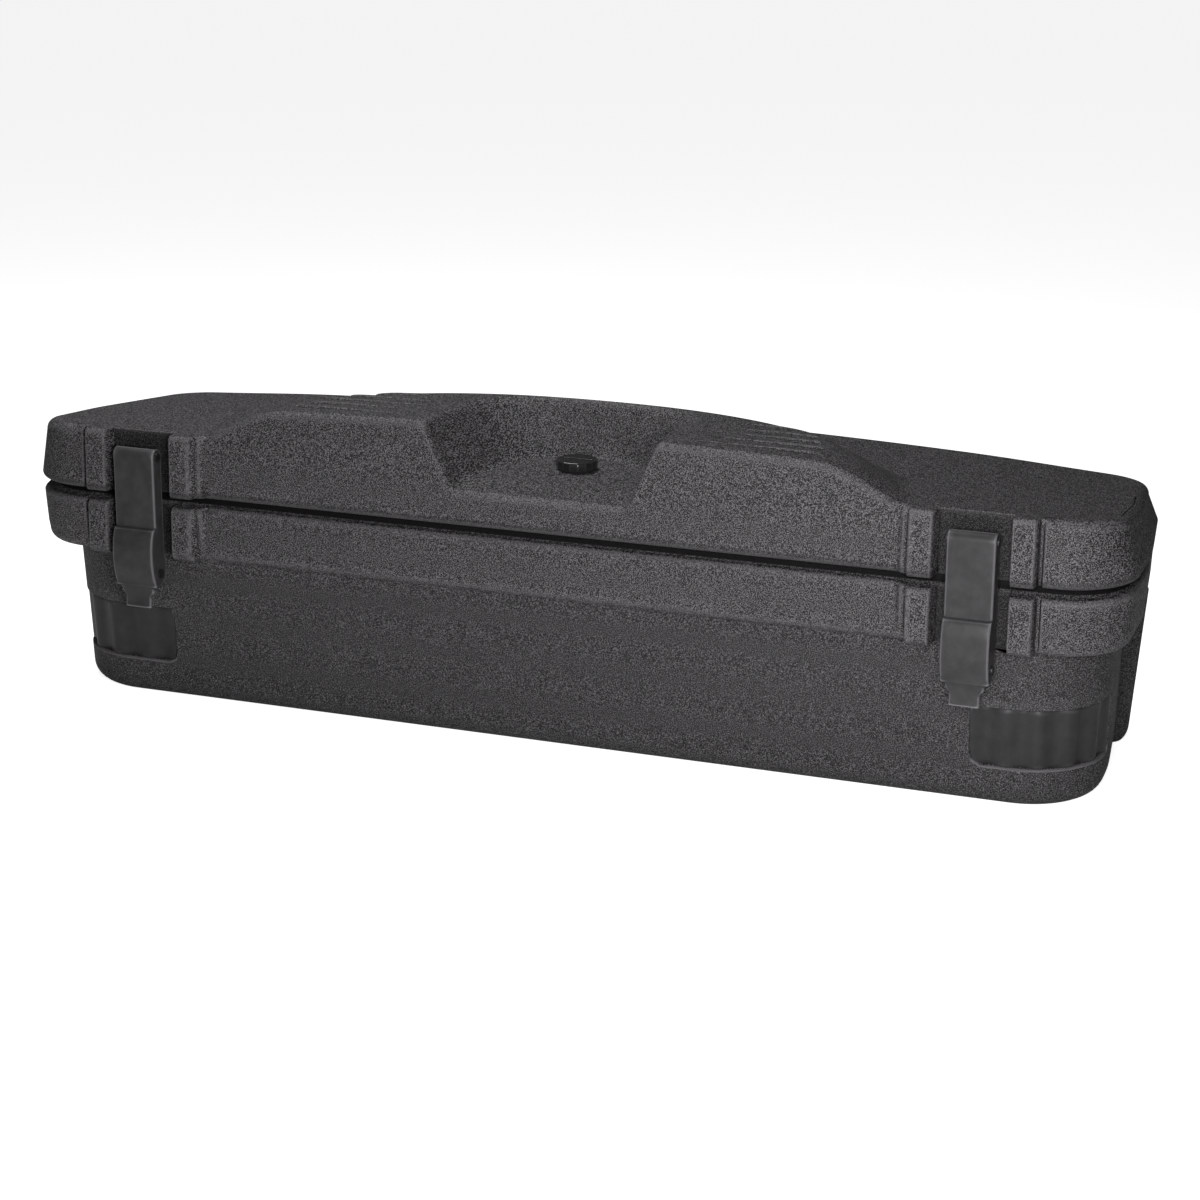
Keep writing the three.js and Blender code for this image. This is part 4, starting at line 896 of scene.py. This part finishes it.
def moulded_polyethylene():
    """Speckle from two sizes of grain, painted as its highlights; outer edges painted paler, for wear and as
    highlight; painted shade in hollows, the seam and the channels; and the grain as bump.
    """
    material, tree, shader = new_finish("moulded_polyethylene", 0.55, 0.14)
    coordinates = add_node(tree, "TexCoord")
    place = coordinates.outputs["Object"]
    across, depth, level = add_node(tree, "SeparateXYZ", Vector=place).outputs
    _, ahead, upward = add_node(tree, "SeparateXYZ", Vector=coordinates.outputs["Normal"]).outputs
    edge_roundness = add_node(tree, "Attribute", {"attribute_name": "roundness"}).outputs["Fac"]
    # Each share is the value that it looks at, where it starts and ends, and what it gives at both.
    shares = {name: mapped(tree, *row) for name, *row in (
        ("steepness", upward, 0.2, 0.9, 1.2, 1.5),
        ("flat", upward, 0.85, 0.98, 1.0, 0.1),
        ("ledge_low", level, 0.029, 0.031, 0.0, 0.8),
        ("ledge_high", level, 0.037, 0.040, 1.0, 0.0),
        ("band", level, 0.128, 0.142, 0.1, 0.6),
        ("seam", level, 0.1848, 0.1858, 0.0, 1.0),
        ("lip", level, 0.193, 0.194, 0.95, 0.45),
        ("lid", level, 0.1985, 0.2005, 1.0, 0.0))}

    # The speckle, painted as the highlights of the grain: two noises added, stronger on the lid and the band
    # than on the body below them, and stronger on faces that look up.
    stretched = add_node(tree, "Mapping", Vector=place, Scale=(1.0, GRAIN_DEPTH, 1.0))
    grain = add_node(tree, "TexNoise", Vector=stretched, Scale=NOISE_GRAIN / GRAIN, Detail=2.0, Roughness=0.6)
    fine = add_node(tree, "TexNoise", Vector=stretched, Scale=NOISE_GRAIN / FINE_GRAIN, Detail=1.0)
    both = add_node(tree, "Math", MULTIPLY_ADD, i0=fine, i1=0.5, i2=grain)
    above = mapped(tree, level, 0.128, 0.142, 0.5, 1.0, SMOOTH)
    strength = mapped(tree, above, 0.0, 1.0, 0.0, shares["steepness"])
    centred = add_node(tree, "Math", SUBTRACT, i0=both, i1=GRAIN_MEAN)
    scaled = add_node(tree, "Math", MULTIPLY, i0=centred, i1=strength)
    speckle = add_node(tree, "Math", ADD, i0=scaled, i1=0.5)
    tone = add_node(tree, "ValToRGB", Fac=speckle)
    ramp = tone.color_ramp.elements
    ramp[0].position, ramp[1].position = DARK_AT, PALE_AT
    ramp[0].color, ramp[1].color = colour(MOULDED_DARK), colour(MOULDED_PALE)
    ramp.new(MID_AT).color = colour(MOULDED_MID)

    # Paler edges, partly wear and partly painted highlight: strong on the ledges under the guards, where it
    # is all painted light, weak on the rest of the body and on flat tops.
    edges = add_node(tree, "Math", MULTIPLY_ADD, i0=shares["ledge_low"], i1=shares["ledge_high"],
                     i2=shares["band"])
    most = add_node(tree, "Math", MULTIPLY, i0=edges, i1=shares["flat"])
    wear_and_highlight = mapped(tree, edge_roundness, 0.008, 0.12, 0.0, most, SMOOTH)
    grained = add_node(tree, "Math", MULTIPLY, i0=speckle, i1=WEAR_AND_HIGHLIGHT_GRAIN)
    grained_wear_and_highlight = add_node(tree, "Math", {**MULTIPLY, "use_clamp": True}, i0=wear_and_highlight, i1=grained)
    paler = mixed(tree, grained_wear_and_highlight, tone, colour(MOULDED_EDGE))

    # Painted shade: hollows, the seam with the lid's lip above it, and the backs of the latch channels.
    hollow = mapped(tree, edge_roundness, -0.07, -0.2, 0.0, 0.8, SMOOTH)
    shadow = add_node(tree, "Math", MULTIPLY, i0=shares["lip"], i1=shares["lid"])
    shaded = add_node(tree, "Math", {**MULTIPLY_ADD, "use_clamp": True}, i0=shares["seam"], i1=shadow,
                      i2=hollow)
    from_middle = add_node(tree, "Math", ABSOLUTE, i0=across)
    from_latch = add_node(tree, "Math", SUBTRACT, i0=from_middle, i1=CHANNEL_MIDDLE)
    off_latch = add_node(tree, "Math", ABSOLUTE, i0=from_latch)
    held = CHANNEL_SHADE
    # Painted shade on a channel's back, between two pillars and two depths, above the body, facing ahead.
    for value, start, end in ((off_latch, 0.0315, 0.0285), (depth, -0.1235, -0.117), (depth, -0.109, -0.111),
                              (level, 0.136, 0.138), (ahead, -0.6, -0.9)):
        held = add_node(tree, "Math", MULTIPLY, i0=mapped(tree, value, start, end), i1=held)
    shaded = add_node(tree, "Math", LARGER, i0=shaded, i1=held)
    darker = mixed(tree, shaded, paler, colour(MOULDED_HOLLOW))

    broad = add_node(tree, "TexNoise", Vector=place, Scale=BROAD_NOISE, Detail=2.0)
    gloss = mapped(tree, broad, 0.0, 1.0, 0.56, 0.68)
    bump = add_node(tree, "Bump", Strength=0.55, Distance=0.35 * MM, Height=both)
    connect(tree, shader, Base_Color=darker, Roughness=gloss, Normal=bump)
    return material


# %% [markdown]
# The guards, the straps and the plug are injection moulded, so they are smoother. A satin plastic needs
# only a fine orange peel in the bump, faint clouds in the colour, and edges painted paler as highlight.
# One function serves them with other colours and gloss.

# %% Satin and glossy plastics
PEEL = 0.7 * MM
CLOUD = 9.6 * MM


def satin_plastic(name, base, pale, roughness, specular):
    """Faint clouds of colour, a fine peel in the bump and edges painted paler as highlight, by the roundness
    of the mesh.
    """
    material, tree, shader = new_finish(name, roughness, specular)
    place = add_node(tree, "TexCoord").outputs["Object"]
    cloud = add_node(tree, "TexNoise", Vector=place, Scale=NOISE_GRAIN / CLOUD, Detail=3.0, Roughness=0.6)
    fine = add_node(tree, "TexNoise", Vector=place, Scale=NOISE_GRAIN / PEEL, Detail=2.0)
    tinted = mixed(tree, mapped(tree, cloud, 0.3, 0.7, 0.0, 0.07), colour(base), colour(pale))
    edge_roundness = add_node(tree, "Attribute", {"attribute_name": "roundness"}).outputs["Fac"]
    # Painted highlight: edges paler by their roundness.
    edged = mixed(tree, mapped(tree, edge_roundness, 0.06, 0.35, 0.0, 0.5, SMOOTH), tinted, colour(pale))
    gloss = mapped(tree, fine, 0.0, 1.0, roughness - 0.05, roughness + 0.08)
    bump = add_node(tree, "Bump", Strength=0.2, Distance=0.04 * MM, Height=fine)
    connect(tree, shader, Base_Color=edged, Roughness=gloss, Normal=bump)
    return material


# %% [markdown]
# The hinges, brackets, keepers, pins, screws and other small fittings are steel with black passivated zinc.
# It looks like a dull metal, with small clouds from the bath and fine scratches along the pieces, so the
# noise for the scratches is stretched.

# %% Black zinc on steel
STEEL_CLOUD, SCRATCH = 2.5 * MM, 0.5 * MM


def black_zinc_steel():
    """Mostly metal, with clouds between two dark greys, and gloss and bump from the scratches."""
    material, tree, shader = new_finish("black_zinc_steel", 0.42, 0.5, 0.8)
    place = add_node(tree, "TexCoord").outputs["Object"]
    stretched = add_node(tree, "Mapping", Vector=place, Scale=(0.15, 1.0, 1.0))
    cloud = add_node(tree, "TexNoise", Vector=place, Scale=NOISE_GRAIN / STEEL_CLOUD, Detail=4.0)
    scratch = add_node(tree, "TexNoise", Vector=stretched, Scale=NOISE_GRAIN / SCRATCH, Detail=2.0)
    tint = mixed(tree, cloud, colour("#2b2b2c"), colour("#4f4e50"))
    gloss = mapped(tree, scratch, 0.0, 1.0, 0.32, 0.55)
    bump = add_node(tree, "Bump", Strength=0.15, Distance=0.05 * MM, Height=scratch)
    connect(tree, shader, Base_Color=tint, Roughness=gloss, Normal=bump)
    return material


# %% [markdown]
# The seal and the plug's washer are closed-cell sponge rubber. Its skin shows small round cells and has no
# gloss, which a cell pattern gives in both colour and bump.

# %% Foam rubber
CELL = 0.8 * MM


def foam_rubber():
    """Cells about a CELL across, paler towards their walls, with the same pattern as bump."""
    material, tree, shader = new_finish("foam_rubber", 0.9, 0.2)
    place = add_node(tree, "TexCoord").outputs["Object"]
    cells = add_node(tree, "TexVoronoi", Vector=place, Scale=1 / CELL)
    tint = mixed(tree, cells, colour("#0e0e0e"), colour("#1f1f1f"))
    bump = add_node(tree, "Bump", Strength=0.4, Distance=0.2 * MM, Height=cells)
    connect(tree, shader, Base_Color=tint, Normal=bump)
    return material


# %% Give each piece its finish
finishes = {"moulded_polyethylene": moulded_polyethylene(),
            "guard_plastic": satin_plastic("satin_polyethylene", "#2f2e2f", "#767477", 0.42, 0.2),
            "latch_plastic": satin_plastic("satin_nylon", "#343334", "#929093", 0.4, 0.2),
            "plug_plastic": satin_plastic("glossy_abs", "#0f0f10", "#3a393b", 0.2, 0.5),
            "black_steel": black_zinc_steel(), "seal_rubber": foam_rubber()}
slots = {row["node"]: row["material_slot"] for row in frame["record"]["subparts"]}
for name, node in nodes.items():
    node.data.materials.clear()
    node.data.materials.append(finishes[slots[name]])
for made, slot in pieces:
    made.data.materials.append(finishes[slot])
print("finishes:", [material.name for material in finishes.values()])

# %% [markdown]
# The studio is plain: a dim even world, a near lamp in front of the right end, a weak one at the front left
# and one overhead. The lamps themselves aren't seen. The camera sees the world as white, also through a
# clear piece, but reflections see it dim, as in a studio with black walls: a white one made the tops too
# light. The floor adds white for the camera only, so a soft shadow still shows.

# %% Studio
WORLD_LEVEL = 0.05
world = bpy.data.worlds.new("studio")
world.use_nodes = True
bpy.context.scene.world = world
tree = world.node_tree
path = add_node(tree, "LightPath")
seen = add_node(tree, "Math", LARGER, i0=path.outputs["Is Camera Ray"],
                i1=path.outputs["Is Transmission Ray"])
strength = mapped(tree, seen, 0.0, 1.0, WORLD_LEVEL, 1.0)
connect(tree, tree.nodes["Background"], Color=(1, 1, 1, 1), Strength=strength)
bpy.context.scene.view_settings.view_transform = "Standard"


def lamp(name, place, target, size, power):
    """A square area lamp that faces a target."""
    data = bpy.data.lights.new(name, "AREA")
    data.size = size
    data.energy = power
    light = bpy.data.objects.new(name, data)
    place = np.array(place)
    back = (place - np.array(target)) / np.linalg.norm(place - np.array(target))
    side = np.cross([0.0, 1.0, 0.0] if abs(back[2]) > 0.9 else [0.0, 0.0, 1.0], back)
    side /= np.linalg.norm(side)
    turned = np.eye(4)
    turned[:3, :3] = np.column_stack([side, np.cross(back, side), back])
    turned[:3, 3] = place
    light.matrix_world = Matrix(turned.tolist())
    light.visible_camera = False
    bpy.context.scene.collection.objects.link(light)
    print(name, "lamp:", power, "W")


lamp("fill", (-0.4, -2.2, 1.3), (0.1, 0, 0.15), 0.6, 2.5)
lamp("key", (0.55, -1.2, 0.5), (0.45, 0, 0.15), 0.4, 12.8)
lamp("sky", (-0.5, 0.2, 1.6), (-0.2, 0, 0.2), 0.7, 15)

# %% Floor
FLOOR_SIZE = 40
FLOOR_NOISE = 300.0
FLOOR_GLOW = 0.85
bpy.ops.mesh.primitive_plane_add(size=FLOOR_SIZE, location=(0, 0, 0))
floor = bpy.context.object
floor.name = "floor"
paper, tree, shader = new_finish("white_paper", 0.9, 0.0)
place = add_node(tree, "TexCoord").outputs["Object"]
grain = add_node(tree, "TexNoise", Vector=place, Scale=FLOOR_NOISE)
tint = mixed(tree, grain, colour("#f4f4f4"), colour("#ffffff"))
path = add_node(tree, "LightPath")
glow = mapped(tree, path.outputs["Is Camera Ray"], 0.0, 1.0, 0.0, FLOOR_GLOW)
connect(tree, shader, Base_Color=tint, Emission_Color=(1, 1, 1, 1), Emission_Strength=glow)
floor.data.materials.clear()
floor.data.materials.append(paper)
